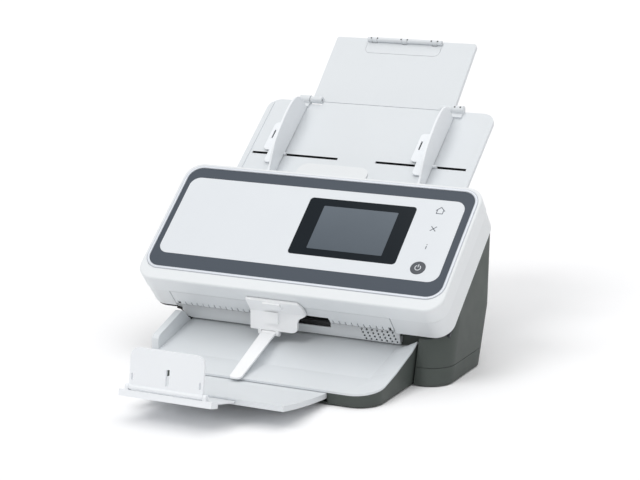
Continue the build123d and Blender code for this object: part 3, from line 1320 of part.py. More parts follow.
def save_deck():
    save("exit_lip", exit_lip(), FACE)
    save("hinge_brackets", hinge_brackets(), FACE)
    save("hinge_pins", hinge_pins(), FACE)
    save("lower_deck", lower_deck(), FACE)
    save("roller_bushes", roller_bushes(), FACE)
    for name, v, radius, width, offsets in roller_table():
        save(f"{name}_shaft", roller_shaft(v, radius), FACE)
        save(f"{name}_tyres", roller_tyres(v, radius, width, offsets), FACE)
    save("drive_belt", drive_belt(), FACE)
    save("drive_motor", drive_motor(), FACE)
    save("motor_shaft", motor_shaft(), FACE)
    save("scan_bar_lower", scan_bar(DECK_N - BAR_DEPTH, DECK_N - BAR_GLASS), FACE)
    save("scan_glass_lower", scan_glass(DECK_N - BAR_GLASS, DECK_N), FACE)


def save_base():
    save("base_pan", base_pan())
    save("base_shell", base_shell())
    save("power_inlet", power_inlet())
    save("usb_socket", socket(USB_X, USB_SIZE, USB_CAVITY))
    save("network_socket", socket(NETWORK_X, NETWORK_SIZE, NETWORK_CAVITY))
    save("rubber_feet", rubber_feet())
    save("case_screws", case_screws())
    save("main_board", main_board())
    save("exit_cover", exit_cover())
    save("exit_guard", exit_guard())


def save_output():
    save("output_tray", output_tray())
    save("tray_plinth", tray_plinth())
    save("output_extender", output_extender())
    save("extender_tip", extender_tip())
    save("end_stop", end_stop())
    save("stacking_bracket", stacking_bracket())
    save("stacking_arm", stacking_arm())


def save_input():
    save("input_tray", joined([TRAY * input_tray()] + tray_lugs()))
    save("tray_back", tray_back(), TRAY)
    save("left_guide", side_guide(-1), TRAY)
    save("right_guide", side_guide(1), TRAY)
    save("guide_pinion", guide_pinion(), TRAY)
    save("extension_pins", extension_pins(), TRAY)
    save("tray_extension", tray_extension(), EXT)
    save("flip_tab", flip_tab(), EXT)
    save("flip_tab_pin", flip_tab_pin(), EXT)


os.makedirs("parts", exist_ok=True)
save_cover()
save_deck()
save_base()
save_output()
save_input()
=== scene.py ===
# %% [markdown]
# # Document scanner
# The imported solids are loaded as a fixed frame. This script gives them their finishes,
# adds the small printed and dark details, and sets the floor, the light and the camera.
# The solids are never reshaped here: a scanner's mouldings are measured pieces, so their
# form belongs in the solids. Only grain, print and a few thin pieces are added.

# %% Load the solids
import bpy
import math
from mathutils import Matrix, Vector


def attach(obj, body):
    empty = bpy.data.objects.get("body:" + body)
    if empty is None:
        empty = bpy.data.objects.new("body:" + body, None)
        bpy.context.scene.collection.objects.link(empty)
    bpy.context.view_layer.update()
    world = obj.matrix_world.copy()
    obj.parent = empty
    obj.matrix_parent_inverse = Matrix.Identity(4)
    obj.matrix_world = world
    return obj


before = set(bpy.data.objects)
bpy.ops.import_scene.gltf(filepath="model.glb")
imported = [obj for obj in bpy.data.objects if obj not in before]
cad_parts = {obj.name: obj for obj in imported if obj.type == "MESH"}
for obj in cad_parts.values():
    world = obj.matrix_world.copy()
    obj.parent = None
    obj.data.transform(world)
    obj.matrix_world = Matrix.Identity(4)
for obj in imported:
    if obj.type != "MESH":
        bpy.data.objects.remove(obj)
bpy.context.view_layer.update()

# %% [markdown]
# ## Places on the object
# The front panel, the input tray and the tray's extension each slope by their own angle.
# A mark on one of them could be placed by hand in the world, but then each number hides
# the slope. Here each slope gets a matrix, so a mark is drawn flat, in millimetres. The
# solids were laid out with Y = 0 under the front edge of the panel's dark border, and the
# matrix also moves a mark by CENTRE_Y, to where the finished object stands.

# %% Planes of the sloping faces
MM = 0.001
CENTRE_Y = -46.15
FACE_TILT = math.radians(39.87)
FACE_HEIGHT = 82.0
TRAY_TILT = math.radians(38.1)
TRAY_Y, TRAY_Z = 168.5, 162.0
EXT_TILT = math.radians(44.8)
EXT_S, EXT_H = 71.8, 2.0
PATH_X = -10.7


def tilted_plane(tilt, y, z):
    """A plane through (0, y, z), tilted about X, whose third axis points up and forwards."""
    origin = Vector((0, y + CENTRE_Y, z)) * MM
    return Matrix.Translation(origin) @ Matrix.Rotation(tilt, 4, "X")


HINGE_Y = TRAY_Y + math.cos(TRAY_TILT) * EXT_S - math.sin(TRAY_TILT) * EXT_H
HINGE_Z = TRAY_Z + math.sin(TRAY_TILT) * EXT_S + math.cos(TRAY_TILT) * EXT_H
FACE = tilted_plane(FACE_TILT, 0, FACE_HEIGHT)
TRAY = tilted_plane(TRAY_TILT, TRAY_Y, TRAY_Z)
EXT = tilted_plane(EXT_TILT, HINGE_Y, HINGE_Z)
print("face origin", tuple(round(v, 4) for v in FACE.to_translation()))

# %% [markdown]
# ## Effects that the finishes share
# Nearly every finish here is moulded plastic, and all of them need the same three small
# effects. They could be built anew in each material. A node group is built once, has
# named inputs, and each material places it with its own values.

# %% Helpers for node groups
NUMBER, COLOUR, VECTOR = "NodeSocketFloat", "NodeSocketColor", "NodeSocketVector"


def new_group(name, inputs, output, output_kind):
    """A group with named inputs and one output, and the two nodes where they arrive."""
    group = bpy.data.node_groups.new(name, "ShaderNodeTree")
    for label, kind, default in inputs:
        socket = group.interface.new_socket(label, in_out="INPUT", socket_type=kind)
        socket.default_value = default
    group.interface.new_socket(output, in_out="OUTPUT", socket_type=output_kind)
    return group, group.nodes.new("NodeGroupInput"), group.nodes.new("NodeGroupOutput")


def object_noise(group, scale_socket, detail):
    """Noise in the object's own space, so that it stays on the piece when it moves."""
    place = group.nodes.new("ShaderNodeTexCoord")
    noise = group.nodes.new("ShaderNodeTexNoise")
    noise.inputs["Detail"].default_value = detail
    group.links.new(place.outputs["Object"], noise.inputs["Vector"])
    group.links.new(scale_socket, noise.inputs["Scale"])
    return noise


def stretched_noise(group, scale_socket, detail, low, high):
    """Noise whose values from `low` to `high` are stretched over the whole range."""
    noise = object_noise(group, scale_socket, detail)
    spread = group.nodes.new("ShaderNodeMapRange")
    spread.inputs["From Min"].default_value = low
    spread.inputs["From Max"].default_value = high
    group.links.new(noise.outputs["Fac"], spread.inputs["Value"])
    return spread


# %% [markdown]
# A steel mould is etched or sparked, and leaves a fine grain on the plastic. An image of
# grain would need unwrapping, so noise in the object's own space is used, as a bump.

# %% Moulded grain
GRAIN_DEPTH = 0.12 * MM


def grain_group():
    inputs = [("Scale", NUMBER, 1500.0), ("Strength", NUMBER, 0.1)]
    group, given, made = new_group("moulded_grain", inputs, "Normal", VECTOR)
    noise = object_noise(group, given.outputs["Scale"], 3.0)
    bump = group.nodes.new("ShaderNodeBump")
    bump.inputs["Distance"].default_value = GRAIN_DEPTH
    group.links.new(noise.outputs["Fac"], bump.inputs["Height"])
    group.links.new(given.outputs["Strength"], bump.inputs["Strength"])
    group.links.new(bump.outputs["Normal"], made.inputs["Normal"])
    return group


GRAIN = grain_group()
print("group:", GRAIN.name)

# %% [markdown]
# One colour all over a large cover looks like card. Real plastic drifts a little in tone,
# so a slow noise mixes the colour with a near shade of it.

# %% Drift of tone


def drift_group():
    inputs = [
        ("Color", COLOUR, (1, 1, 1, 1)),
        ("Shade", COLOUR, (0.8, 0.8, 0.8, 1)),
        ("Scale", NUMBER, 9.0),
        ("Amount", NUMBER, 0.4),
    ]
    group, given, made = new_group("tone_drift", inputs, "Color", COLOUR)
    spread = stretched_noise(group, given.outputs["Scale"], 4.0, 0.3, 0.7)
    group.links.new(given.outputs["Amount"], spread.inputs["To Max"])
    mix = group.nodes.new("ShaderNodeMix")
    mix.data_type = "RGBA"
    group.links.new(spread.outputs["Result"], mix.inputs["Factor"])
    group.links.new(given.outputs["Color"], mix.inputs["A"])
    group.links.new(given.outputs["Shade"], mix.inputs["B"])
    group.links.new(mix.outputs["Result"], made.inputs["Color"])
    return group


DRIFT = drift_group()
print("group:", DRIFT.name)

# %% [markdown]
# Handling and the mould's wear change the gloss slightly from place to place. A second
# noise moves the roughness between a low and a high value.

# %% Drift of gloss


def gloss_group():
    inputs = [("Low", NUMBER, 0.3), ("High", NUMBER, 0.4), ("Scale", NUMBER, 60.0)]
    group, given, made = new_group("gloss_drift", inputs, "Roughness", NUMBER)
    spread = stretched_noise(group, given.outputs["Scale"], 5.0, 0.25, 0.75)
    group.links.new(given.outputs["Low"], spread.inputs["To Min"])
    group.links.new(given.outputs["High"], spread.inputs["To Max"])
    group.links.new(spread.outputs["Result"], made.inputs["Roughness"])
    return group


GLOSS = gloss_group()
print("group:", GLOSS.name)

# %% [markdown]
# ## Finishes
# The shader works with linear light, but a colour is easier to read as it looks on screen,
# from 0 to 255. One helper changes the second into the first, and another joins the three
# effects to a Principled shader, so each finish below is one call: its colour, a near
# shade, its lowest and highest roughness, and its grain where that isn't the usual one.

# %% Helpers for colours and finishes


def linear(colour):
    """A colour of 0 to 255, as the screen shows it, changed to linear light."""
    def one(value):
        value = value / 255
        return value / 12.92 if value <= 0.04045 else ((value + 0.055) / 1.055) ** 2.4
    return tuple(one(value) for value in colour) + (1.0,)


def place_group(tree, group, **values):
    """A node that runs a shared group with a material's own values."""
    node = tree.nodes.new("ShaderNodeGroup")
    node.node_tree = group
    for socket, value in values.items():
        node.inputs[socket].default_value = value
    return node


def finish(name, colour, shade, rough, grain=(1500.0, 0.1), **shader):
    """A finish from the shared effects. Further sockets of the shader are set by name."""
    material = bpy.data.materials.new(name)
    material.use_nodes = True
    tree = material.node_tree
    body = tree.nodes["Principled BSDF"]
    tone = place_group(tree, DRIFT, Color=linear(colour), Shade=linear(shade))
    tree.links.new(tone.outputs["Color"], body.inputs["Base Color"])
    gloss = place_group(tree, GLOSS, Low=rough[0], High=rough[1])
    tree.links.new(gloss.outputs["Roughness"], body.inputs["Roughness"])
    if grain:
        bump = place_group(tree, GRAIN, Scale=grain[0], Strength=grain[1])
        tree.links.new(bump.outputs["Normal"], body.inputs["Normal"])
    for socket, value in shader.items():
        body.inputs[socket.replace("_", " ")].default_value = value
    return material


# %% [markdown]
# The shells are cool white plastic, the trays the same with a stronger grain, and the two
# frosted pieces at the paper's exit let a little light through. One white for all would
# be simpler, but then neighbouring pieces run together, so each kind has its own.

# %% White plastics
WHITE = finish("shell_white", (230, 233, 235), (222, 226, 229), (0.36, 0.44))
LOWER = finish("lower_white", (226, 229, 231), (218, 221, 224), (0.38, 0.46))
PANEL = finish("panel_white", (223, 227, 231), (217, 221, 226), (0.34, 0.42),
               grain=(2600.0, 0.05))
TRAY_WHITE = finish("tray_white", (222, 226, 229), (215, 219, 223), (0.40, 0.48),
                    grain=(1900.0, 0.14))
# The stops' white is brighter than the trays'. The side guides take it too, and on them the
# extra brightness is painted light.
STOP_WHITE = finish("stop_white", (240, 243, 246), (233, 236, 240), (0.36, 0.44),
                    grain=(1900.0, 0.1))
BUSH = finish("bush_white", (214, 214, 210), (204, 204, 199), (0.4, 0.5))
FROSTED = finish("frosted", (253, 254, 255), (247, 249, 252), (0.42, 0.50),
                 Transmission_Weight=0.05, IOR=1.49)
print(len(bpy.data.materials), "finishes so far")

# %% [markdown]
# The base is dark grey with a coarse grain, the ring round the panel is slate, and the
# guard in the exit is nearly black. None of them is pure black, because a surface that
# gives back no light shows no form.

# %% Grey and dark plastics
SLATE = finish("slate_border", (60, 69, 80), (55, 64, 75), (0.40, 0.48), grain=(2600.0, 0.08),
               Specular_IOR_Level=0.35)
BASE = finish("base_grey", (74, 80, 77), (67, 73, 70), (0.5, 0.6), grain=(1300.0, 0.22),
              Specular_IOR_Level=0.35)
DECK = finish("deck_grey", (62, 65, 70), (54, 57, 62), (0.42, 0.52))
# This black is the guard's own, and the same finish is the painted shade in the holes and slots
# below.
BLACK_AND_SHADE = finish("black_plastic", (24, 25, 27), (18, 19, 21), (0.45, 0.6))
BUTTON = finish("button_dark", (66, 71, 78), (58, 63, 70), (0.22, 0.30), grain=None)
print(len(bpy.data.materials), "finishes so far")

# %% [markdown]
# The display's border is glass with black paint behind it. Painted glass could be made as
# two layers, but a smooth black with a weak reflection looks the same. Only the strips of
# glass over the scan bars are clear, so they let most of the light through and bend it.

# %% Glass
GLASS_BLACK = finish("display_border", (16, 25, 32), (13, 21, 28), (0.12, 0.18), grain=None,
                     Specular_IOR_Level=0.12)
CLEAR = finish("scan_glass", (206, 216, 216), (198, 210, 210), (0.03, 0.06), grain=None,
               Transmission_Weight=0.85, IOR=1.5)
print(len(bpy.data.materials), "finishes so far")

# %% [markdown]
# Pins, shafts and the shells of the sockets are bare metal, so they are fully metallic.
# The thin bead by the panel would sparkle as full metal, because each bit of it mirrors
# another part of the room. It is rougher and only partly metallic, and so is the motor.

# %% Metals
STEEL = finish("steel", (186, 187, 189), (170, 171, 173), (0.25, 0.38), grain=(900.0, 0.1),
               Metallic=1.0)
SOCKET = finish("socket_metal", (170, 171, 174), (156, 157, 160), (0.3, 0.42), grain=None,
                Metallic=1.0)
SILVER = finish("bright_trim", (196, 200, 206), (186, 190, 196), (0.42, 0.5), grain=None,
                Metallic=0.6)
MOTOR = finish("motor_metal", (60, 61, 64), (50, 51, 54), (0.35, 0.45), Metallic=0.6)
print(len(bpy.data.materials), "finishes so far")

# %% [markdown]
# Rubber is the dullest finish here, and the rollers have the strongest grain, which grips
# the paper. The circuit board is green lacquer. The icons need two inks, because the ones
# on the white panel are grey and the one on the dark button is pale.

# %% Rubber, lacquer and ink
# The belt's rubber also makes the black strips of painted shade in the gaps below.
BELT_AND_SHADE = finish("belt_rubber", (30, 30, 31), (24, 24, 25), (0.6, 0.75))
RUBBER = finish("roller_rubber", (50, 51, 54), (42, 43, 46), (0.6, 0.75), grain=(1200.0, 0.3))
FOOT = finish("foot_rubber", (38, 38, 40), (31, 31, 33), (0.65, 0.8))
BOARD = finish("board_green", (34, 92, 60), (28, 80, 52), (0.3, 0.42))
ICON = finish("icon_grey", (92, 98, 106), (84, 90, 98), (0.4, 0.5), grain=None)
ICON_LIGHT = finish("icon_light", (214, 218, 222), (204, 209, 214), (0.4, 0.5), grain=None)
print(len(bpy.data.materials), "finishes so far")

# %% [markdown]
# The display is switched off, so no picture is drawn on it. A switched off panel is grey,
# and its upper part is painted a little lighter: a painted reflection of the room, which
# the panel mirrors more towards its top. The rise is taken from the height on the object,
# so it stays put when the camera moves.

# %% The screen's finish, with a painted reflection
SCREEN_LOW, SCREEN_HIGH = 37.0, 87.0
# The lighter of these two greys is a painted reflection of the room.
SCREEN_DARK, SCREEN_REFLECTED_TOP = (82, 91, 100), (98, 107, 116)


def screen_finish():
    """A grey that grows lighter between two places up the panel's slope, as a painted
    reflection.
    """
    material = finish("screen_off", (90, 99, 108), (83, 92, 101), (0.14, 0.2), grain=None,
                      Specular_IOR_Level=0.25)
    tree = material.node_tree
    place = tree.nodes.new("ShaderNodeTexCoord")
    split = tree.nodes.new("ShaderNodeSeparateXYZ")
    tree.links.new(place.outputs["Object"], split.inputs["Vector"])
    rise = tree.nodes.new("ShaderNodeMapRange")
    rise.inputs["From Min"].default_value = (FACE @ Vector((0, SCREEN_LOW * MM, 0))).z
    rise.inputs["From Max"].default_value = (FACE @ Vector((0, SCREEN_HIGH * MM, 0))).z
    tree.links.new(split.outputs["Z"], rise.inputs["Value"])
    reflection_ramp = tree.nodes.new("ShaderNodeMix")
    reflection_ramp.data_type = "RGBA"
    reflection_ramp.inputs["A"].default_value = linear(SCREEN_DARK)
    reflection_ramp.inputs["B"].default_value = linear(SCREEN_REFLECTED_TOP)
    tree.links.new(rise.outputs["Result"], reflection_ramp.inputs["Factor"])
    tone = next(node for node in tree.nodes if node.type == "GROUP" and node.node_tree == DRIFT)
    tree.links.new(reflection_ramp.outputs["Result"], tone.inputs["Color"])
    return material


SCREEN = screen_finish()
print("screen:", SCREEN.name)

# %% [markdown]
# ## Finishes on the solids
# Each solid here has one finish, so a table of names is enough. The cell prints how many
# it dressed, and lists any solid that the table forgot.

# %% Dress the solids
FINISHES = {
    WHITE: ["cover_frame"],
    LOWER: ["cover_back", "exit_lip", "exit_cover", "paper_hood"],
    PANEL: ["control_panel"],
    TRAY_WHITE: ["output_tray", "output_extender", "input_tray", "tray_extension", "flip_tab"],
    STOP_WHITE: ["end_stop", "extender_tip", "left_guide", "right_guide"],
    FROSTED: ["stacking_bracket", "stacking_arm"],
    SILVER: ["trim_bead"],
    SLATE: ["ring_bezel", "release_slider"],
    GLASS_BLACK: ["display_glass"],
    SCREEN: ["display_screen"],
    BUTTON: ["power_button"],
    BASE: ["base_pan", "base_shell", "tray_plinth"],
    BLACK_AND_SHADE: ["exit_guard", "hinge_brackets", "scan_bar_upper", "scan_bar_lower",
            "power_inlet", "tray_back"],
    DECK: ["lower_deck"],
    BUSH: ["roller_bushes", "guide_pinion", "exit_idler", "drive_idler"],
    CLEAR: ["scan_glass_upper", "scan_glass_lower"],
    STEEL: ["hinge_pins", "motor_shaft", "case_screws", "extension_pins", "flip_tab_pin",
            "exit_shaft", "drive_shaft", "feed_shaft"],
    BELT_AND_SHADE: ["drive_belt", "cover_gasket"],
    RUBBER: ["exit_tyres", "drive_tyres", "feed_tyres", "separation_roller"],
    FOOT: ["rubber_feet"],
    MOTOR: ["drive_motor"],
    SOCKET: ["usb_socket", "network_socket"],
    BOARD: ["main_board"],
}
dressed = set()
for material, names in FINISHES.items():
    for name in names:
        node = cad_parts[name]
        node.data.materials.clear()
        node.data.materials.append(material)
        dressed.add(name)
print(len(dressed), "solids dressed; bare:", sorted(set(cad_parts) - dressed))

# %% [markdown]
# ## Small pieces
# The printed icons are ink a few hundredths of a millimetre thick. They could be a picture
# on the panel, but a picture blurs up close. Here each is drawn as closed outlines on a
# plane and given a small thickness, which stays sharp and rides on its own body. The
# other small pieces further below are drawn in the same way.

# %% Helpers for thin pieces


def wound(outline):
    """The outline with its corners counterclockwise, so that every face looks outwards."""
    area = sum(a[0] * b[1] - b[0] * a[1] for a, b in zip(outline, outline[1:] + outline[:1]))
    return outline if area > 0 else outline[::-1]


def thin_piece(name, outlines, place, thickness, material, body, lift=0.0):
    """Closed outlines, in millimetres on a plane, made into one thin mesh on a body."""
    verts, faces = [], []
    for outline in map(wound, outlines):
        start, count = len(verts), len(outline)
        for height in (lift, lift + thickness):
            verts += [place @ (Vector((x, y, height)) * MM) for x, y in outline]
        faces.append([start + i for i in reversed(range(count))])
        faces.append([start + count + i for i in range(count)])
        for i in range(count):
            j = (i + 1) % count
            faces.append([start + i, start + j, start + count + j, start + count + i])
    mesh = bpy.data.meshes.new(name)
    mesh.from_pydata(verts, [], faces)
    mesh.materials.append(material)
    piece = bpy.data.objects.new(name, mesh)
    bpy.context.scene.collection.objects.link(piece)
    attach(piece, body)
    print(name, "rides on", body, "with", len(faces), "faces")


def bar(x0, y0, x1, y1, width):
    """A straight stroke from one point to another."""
    along = Vector((x1 - x0, y1 - y0)).normalized()
    side = Vector((-along.y, along.x)) * width / 2
    return [(x0 - side.x, y0 - side.y), (x1 - side.x, y1 - side.y),
            (x1 + side.x, y1 + side.y), (x0 + side.x, y0 + side.y)]


def arc_point(x, y, radius, angle):
    return x + radius * math.cos(angle), y + radius * math.sin(angle)


def disc(x, y, radius, count):
    """A round dot with `count` corners."""
    return [arc_point(x, y, radius, 2 * math.pi / count * i) for i in range(count)]


def ring(x, y, radius, width, start, end, count=16):
    """Short quads, end to end, that follow part of a ring. The angles are in degrees."""
    inner, outer = radius - width / 2, radius + width / 2
    angles = [math.radians(start + (end - start) * i / count) for i in range(count + 1)]
    return [[arc_point(x, y, inner, a), arc_point(x, y, outer, a),
             arc_point(x, y, outer, b), arc_point(x, y, inner, b)]
            for a, b in zip(angles, angles[1:])]


# %% [markdown]
# Beside the display stand four plain icons in one column: a house, a cross, a letter i and,
# on the round button, the usual power mark. They could be traced as curves, but bars,
# discs and a ring are enough for them, each drawn from its own foot or middle.

# %% Icons
ICON_U = 116.4
HOUSE_V, CROSS_V, INFO_V, POWER_V = 90.0, 73.0, 50.2, 29.2
LINE, INFO_LINE = 0.75, 0.8
INK = 0.06
BUTTON_RISE = 0.3


def power_icon(u, v, radius=2.6, start=118, end=422):
    return ring(u, v, radius, LINE, start, end) + [bar(u, v + 0.4, u, v + 3.7, LINE)]


def info_icon(u, v, stem=3.4, dot=0.5):
    return [bar(u, v, u, v + stem, INFO_LINE), disc(u, v + stem + 1.5, dot, 10)]


def cross_icon(u, v, reach=2.6):
    return [bar(u - reach, v - reach, u + reach, v + reach, LINE),
            bar(u - reach, v + reach, u + reach, v - reach, LINE)]


def house_icon(u, v, wall=2.9, eaves=4.2):
    roof = [bar(u - eaves, v + 3.4, u + 0.2, v + 7.6, LINE),
            bar(u - 0.2, v + 7.6, u + eaves, v + 3.4, LINE)]
    walls = [bar(u + side * wall, v, u + side * wall, v + 4.4, LINE) for side in (-1, 1)]
    return roof + walls + [bar(u - wall, v + 0.2, u + wall, v + 0.2, LINE)]


power = power_icon(ICON_U, POWER_V)
panel = info_icon(ICON_U, INFO_V) + cross_icon(ICON_U, CROSS_V) + house_icon(ICON_U, HOUSE_V)
thin_piece("power_mark", power, FACE, INK, ICON_LIGHT, "power_button",
           lift=BUTTON_RISE)
thin_piece("panel_marks", panel, FACE, INK, ICON, "cover")

# %% [markdown]
# Small holes look black, because no light comes out of them. The real ones are the dots on
# the hinge of the flip-up tab and on the knuckle of the tray's hinge. They could be
# drilled in the solids, but at this size a thin black disc on the surface looks the same.

# %% Dark dots
DOT_THICK, DOT_CORNERS = 0.08, 12
TAB_AXIS, TAB_TOP = 80.0, 2.0
TAB_EARS, EAR_REACH, TAB_DOT = (-32.5, 0.0, 32.5), 3.4, 0.8
BOSS_DOTS, BOSS_DOT, BOSS_RADIUS = (78.6, 84.4), 0.9, 4.2
dots = [disc(PATH_X + ear + side * EAR_REACH, TAB_AXIS, TAB_DOT, DOT_CORNERS)
        for ear in TAB_EARS for side in (-1, 1)]
thin_piece("tab_dots", dots, EXT, DOT_THICK, BLACK_AND_SHADE, "flip_tab",
           lift=TAB_TOP)
knuckle = [disc(PATH_X + across, EXT_S, BOSS_DOT, DOT_CORNERS) for across in BOSS_DOTS]
thin_piece("knuckle_dots", knuckle, TRAY, DOT_THICK, BLACK_AND_SHADE, "base",
           lift=EXT_H + BOSS_RADIUS)

# %% [markdown]
# Each side guide has a short slot in its foot. It is cut through the solid, and the white
# tray would show at its bottom, so a thin black bar of painted shade lies low in it, for
# the dark that the narrow slot holds. Both feet reach to the left of their guide's fin,
# and the slot is placed from the foot's left edge.

# %% Painted shade in the slots of the side guides' feet
GUIDE_HALF, FIN_THICK, FOOT_WIDTH = 77.3, 2.0, 22.0
FOOT_SLOT_IN, FOOT_SLOT_LOW, FOOT_SLOT_HIGH = 3.8, 17.3, 27.7
FOOT_SHADE_WIDTH, FOOT_SHADE_THICK, FOOT_SHADE_BOTTOM = 1.4, 0.3, 1.1
FEET = {
    "left_guide": PATH_X - GUIDE_HALF - FIN_THICK - FOOT_WIDTH,
    "right_guide": PATH_X + GUIDE_HALF - FOOT_WIDTH,
}
for name, foot in FEET.items():
    x = foot + FOOT_SLOT_IN
    foot_slot_shade = [bar(x, FOOT_SLOT_LOW, x, FOOT_SLOT_HIGH, FOOT_SHADE_WIDTH)]
    thin_piece(name + "_slot", foot_slot_shade, TRAY, FOOT_SHADE_THICK, BLACK_AND_SHADE, name,
               lift=FOOT_SHADE_BOTTOM)

# %% [markdown]
# The guides slide along two long slots, which show as black lines across the tray. Light
# bounces between white walls and greys the line, so a thin black strip of painted shade
# stands against each long wall and darkens it. A black plug would look the same, but the
# guides' stems need the room.

# %% Painted shade on the walls of the tray's long slots
SLOT_S, SLOT_INNER, SLOT_OUTER = -1.0, 20.0, 112.5
SLOT_SHADE_OFF, SLOT_SHADE_THICK = 1.35, 0.14
SLOT_SHADE_HEIGHT, SLOT_SHADE_BOTTOM = 2.6, -2.65
# The strips gathered below are painted shade against the slot walls.
walls = []
for side in (-1, 1):
    x0, x1 = PATH_X + side * SLOT_INNER, PATH_X + side * SLOT_OUTER
    walls += [bar(x0, s, x1, s, SLOT_SHADE_THICK) for s in (SLOT_S - SLOT_SHADE_OFF, SLOT_S + SLOT_SHADE_OFF)]
thin_piece("tray_slot_walls", walls, TRAY, SLOT_SHADE_HEIGHT, BLACK_AND_SHADE, "base",
           lift=SLOT_SHADE_BOTTOM)

# %% [markdown]
# A black strip under the cover's lower left corner, where it closes on the base, is painted
# shade: it darkens the gap's shadow there. A profile could be swept along the corner. A band
# between two arcs of one middle needs fewer steps, and runs on a little along the lower edge.

# %% Painted shade strip on the cover's corner
CORNER_U, CORNER_V, CORNER_RADIUS = -133.4, 2.6, 16.4
CORNER_SHADE_OUTER, CORNER_SHADE_INNER = CORNER_RADIUS + 0.1, CORNER_RADIUS - 1.5
CORNER_SHADE_END = -122.0
CORNER_SHADE_HEIGHT, CORNER_SHADE_BOTTOM = 2.3, -42.9
TURNS = [math.radians(190 + 80 * i / 12) for i in range(13)]
outer = [arc_point(CORNER_U, CORNER_V, CORNER_SHADE_OUTER, a) for a in TURNS]
inner = [arc_point(CORNER_U, CORNER_V, CORNER_SHADE_INNER, a) for a in TURNS]
shade_end = [(CORNER_SHADE_END, CORNER_V - CORNER_SHADE_OUTER), (CORNER_SHADE_END, CORNER_V - CORNER_SHADE_INNER)]
thin_piece("corner_lip", [outer + shade_end + inner[::-1]], FACE, CORNER_SHADE_HEIGHT, BELT_AND_SHADE, "cover",
           lift=CORNER_SHADE_BOTTOM)

# %% [markdown]
# A second black strip of painted shade runs down to the tray beside the left end of the exit
# panel, where the gap lies in shadow. It bends twice as it follows the panel's slanted end,
# so it is a short list of points on an upright plane instead of arcs, with a slightly thicker
# edge along its upper right side. A small white end piece behind it closes the view through
# the joint.

# %% Painted shade strip beside the exit panel
UPRIGHT = math.radians(90)
EXIT_SHADE_Y, END_Y = 26.4, 27.4
EXIT_SHADE_PLANE, END_PLANE = tilted_plane(UPRIGHT, EXIT_SHADE_Y, 0), tilted_plane(UPRIGHT, END_Y, 0)
BAND_THICK, EDGE_THICK, END_THICK = 1.6, 2.0, 1.3
EDGE_ACROSS, EDGE_UP = 1.3, 0.9
slant = [(-127.0, 38.2), (-122.5, 37.6), (-118.9, 35.4),
         (-116.6, 32.9), (-114.4, 29.8), (-112.1, 27.6)]
below = [(-112.9, 26.0), (-115.9, 28.4), (-118.2, 31.4),
         (-120.0, 33.6), (-122.9, 35.6), (-127.0, 36.3)]
over = [(x + EDGE_ACROSS, z + EDGE_UP) for x, z in slant[2:]]
end_piece = [(-127.5, 45.4), (-127.5, 37.4), (-122.6, 36.8), (-119.0, 34.8), (-118.6, 45.4)]
thin_piece("exit_end_lip", [slant + below], EXIT_SHADE_PLANE, BAND_THICK, BELT_AND_SHADE, "base")
thin_piece("exit_end_edge", [slant[2:] + over[::-1]], EXIT_SHADE_PLANE, EDGE_THICK, BELT_AND_SHADE, "base")
thin_piece("exit_end_piece", [end_piece], END_PLANE, END_THICK, LOWER, "base")

# %% [markdown]
# The two data sockets on the back are metal shells. The smaller one has one pale tongue
# inside, and the network socket has eight thin contacts. They could be solids too, but
# they carry nothing and hardly show. The upright plane at the sockets' mouths faces
# forwards, into the sockets, so a lift is how far inside a contact begins.

# %% Contacts in the sockets
MOUTH_Y, SOCKET_Z = 106.6, 34.0
MOUTH = tilted_plane(UPRIGHT, MOUTH_Y, SOCKET_Z)
USB_X, NETWORK_X = -62.0, -92.0
TONGUE_HALF, TONGUE_UP, TONGUE_THICK = 2.8, 0.4, 2.0
TONGUE_IN, TONGUE_LENGTH = 1.0, 9.0
PIN_COUNT, PIN_PITCH, PIN_WIDTH = 8, 1.1, 0.4
PIN_LOW, PIN_HIGH = 1.6, 3.9
PIN_IN, PIN_LENGTH = 2.0, 8.0
tongue = [bar(USB_X - TONGUE_HALF, TONGUE_UP, USB_X + TONGUE_HALF, TONGUE_UP, TONGUE_THICK)]
thin_piece("usb_tongue", tongue, MOUTH, TONGUE_LENGTH, BUSH, "base",
           lift=TONGUE_IN)
pin_places = [NETWORK_X + PIN_PITCH * (i - (PIN_COUNT - 1) / 2) for i in range(PIN_COUNT)]
pins = [bar(x, PIN_LOW, x, PIN_HIGH, PIN_WIDTH) for x in pin_places]
thin_piece("network_pins", pins, MOUTH, PIN_LENGTH, SOCKET, "base",
           lift=PIN_IN)

# %% [markdown]
# ## Floor, light and camera
# The object stands on a plain pale floor. It only has to catch the soft shadow, so one
# large plane is enough. It lies a little under the feet, so that no two faces share a
# place.

# %% Floor
FLOOR_SIZE, FLOOR_DROP = 12, 0.2 * MM
bpy.ops.mesh.primitive_plane_add(size=FLOOR_SIZE, location=(0, 0, -FLOOR_DROP))
floor = bpy.context.object
floor.name = "floor"
pale = finish("floor_pale", (254, 254, 255), (253, 253, 254), (0.7, 0.85), grain=None)
floor.data.materials.append(pale)
print("floor:", floor.name)

# %% [markdown]
# The sky fills the shadows at half strength. To the camera, in mirrors and through glass
# it is pure white instead, as a studio's backdrop is. One strength for all rays would give
# either a grey backdrop or pale shadows.

# %% World
FILL_STRENGTH, BACKDROP_STRENGTH = 0.5, 1.0
world = bpy.data.worlds.new("studio")
bpy.context.scene.world = world
world.use_nodes = True
sky = world.node_tree
sky.nodes.clear()


def white_light(strength):
    node = sky.nodes.new("ShaderNodeBackground")
    node.inputs["Color"].default_value = (1.0, 1.0, 1.0, 1.0)
    node.inputs["Strength"].default_value = strength
    return node.outputs["Background"]


def either(first, second):
    """A mask that is 1 where either of two masks is 1."""
    node = sky.nodes.new("ShaderNodeMath")
    node.operation = "MAXIMUM"
    sky.links.new(first, node.inputs[0])
    sky.links.new(second, node.inputs[1])
    return node.outputs["Value"]


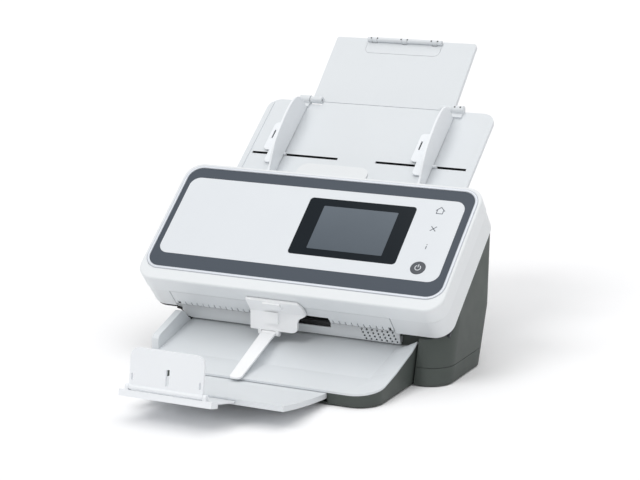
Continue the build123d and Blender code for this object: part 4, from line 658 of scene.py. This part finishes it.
out = sky.nodes.new("ShaderNodeOutputWorld")
rays = sky.nodes.new("ShaderNodeLightPath")
seen = either(rays.outputs["Is Camera Ray"], rays.outputs["Is Glossy Ray"])
seen = either(seen, rays.outputs["Is Transmission Ray"])
choose = sky.nodes.new("ShaderNodeMixShader")
sky.links.new(seen, choose.inputs["Fac"])
sky.links.new(white_light(FILL_STRENGTH), choose.inputs[1])
sky.links.new(white_light(BACKDROP_STRENGTH), choose.inputs[2])
sky.links.new(choose.outputs["Shader"], out.inputs["Surface"])
print("world:", world.name, "with", len(sky.nodes), "nodes")

# %% [markdown]
# Large soft boxes light a small object unevenly, since each end is nearer to one of them.
# Three distant lamps with a wide angle give the same soft edges and an even level. Such a
# lamp's place doesn't matter, only its direction.

# %% Lamps
LAMP_DISTANCE = 2


def soft_sun(name, towards, angle, strength):
    """A distant soft lamp. `towards` points from the object to the lamp."""
    data = bpy.data.lights.new(name, "SUN")
    data.angle = math.radians(angle)
    data.energy = strength
    lamp = bpy.data.objects.new(name, data)
    bpy.context.scene.collection.objects.link(lamp)
    lamp.location = Vector(towards) * LAMP_DISTANCE
    lamp.rotation_euler = Vector(towards).to_track_quat("Z", "Y").to_euler()
    print("lamp:", name, "at strength", strength)


soft_sun("key", (-0.3, -0.55, 0.78), 25, 0.8)
soft_sun("top", (0.1, 0.1, 0.98), 60, 1.05)
soft_sun("side", (0.75, -0.35, 0.55), 40, 0.1)

# %% [markdown]
# The camera was solved from the straight edges of the cover and the trays: a long lens,
# about 1.7 m away, 26 degrees to the right of the front and 13 degrees above.

# %% Camera
CAMERA_PLACE = Vector((0.7378, -1.4336 + CENTRE_Y * MM, 0.3971 + FACE_HEIGHT * MM))
CAMERA_VIEW = Vector((-0.4305, 0.8758, -0.2183))
FOCAL_LENGTH, SENSOR_WIDTH = 105.67, 36.0
CLIP_START = 0.05
lens = bpy.data.cameras.new("camera")
lens.lens = FOCAL_LENGTH
lens.sensor_width = SENSOR_WIDTH
lens.clip_start = CLIP_START
camera = bpy.data.objects.new("camera", lens)
bpy.context.scene.collection.objects.link(camera)
camera.location = CAMERA_PLACE
camera.rotation_euler = CAMERA_VIEW.to_track_quat("-Z", "Y").to_euler()
bpy.context.scene.camera = camera
bpy.context.scene.view_settings.view_transform = "Standard"
print("camera at", tuple(round(v, 3) for v in camera.location))
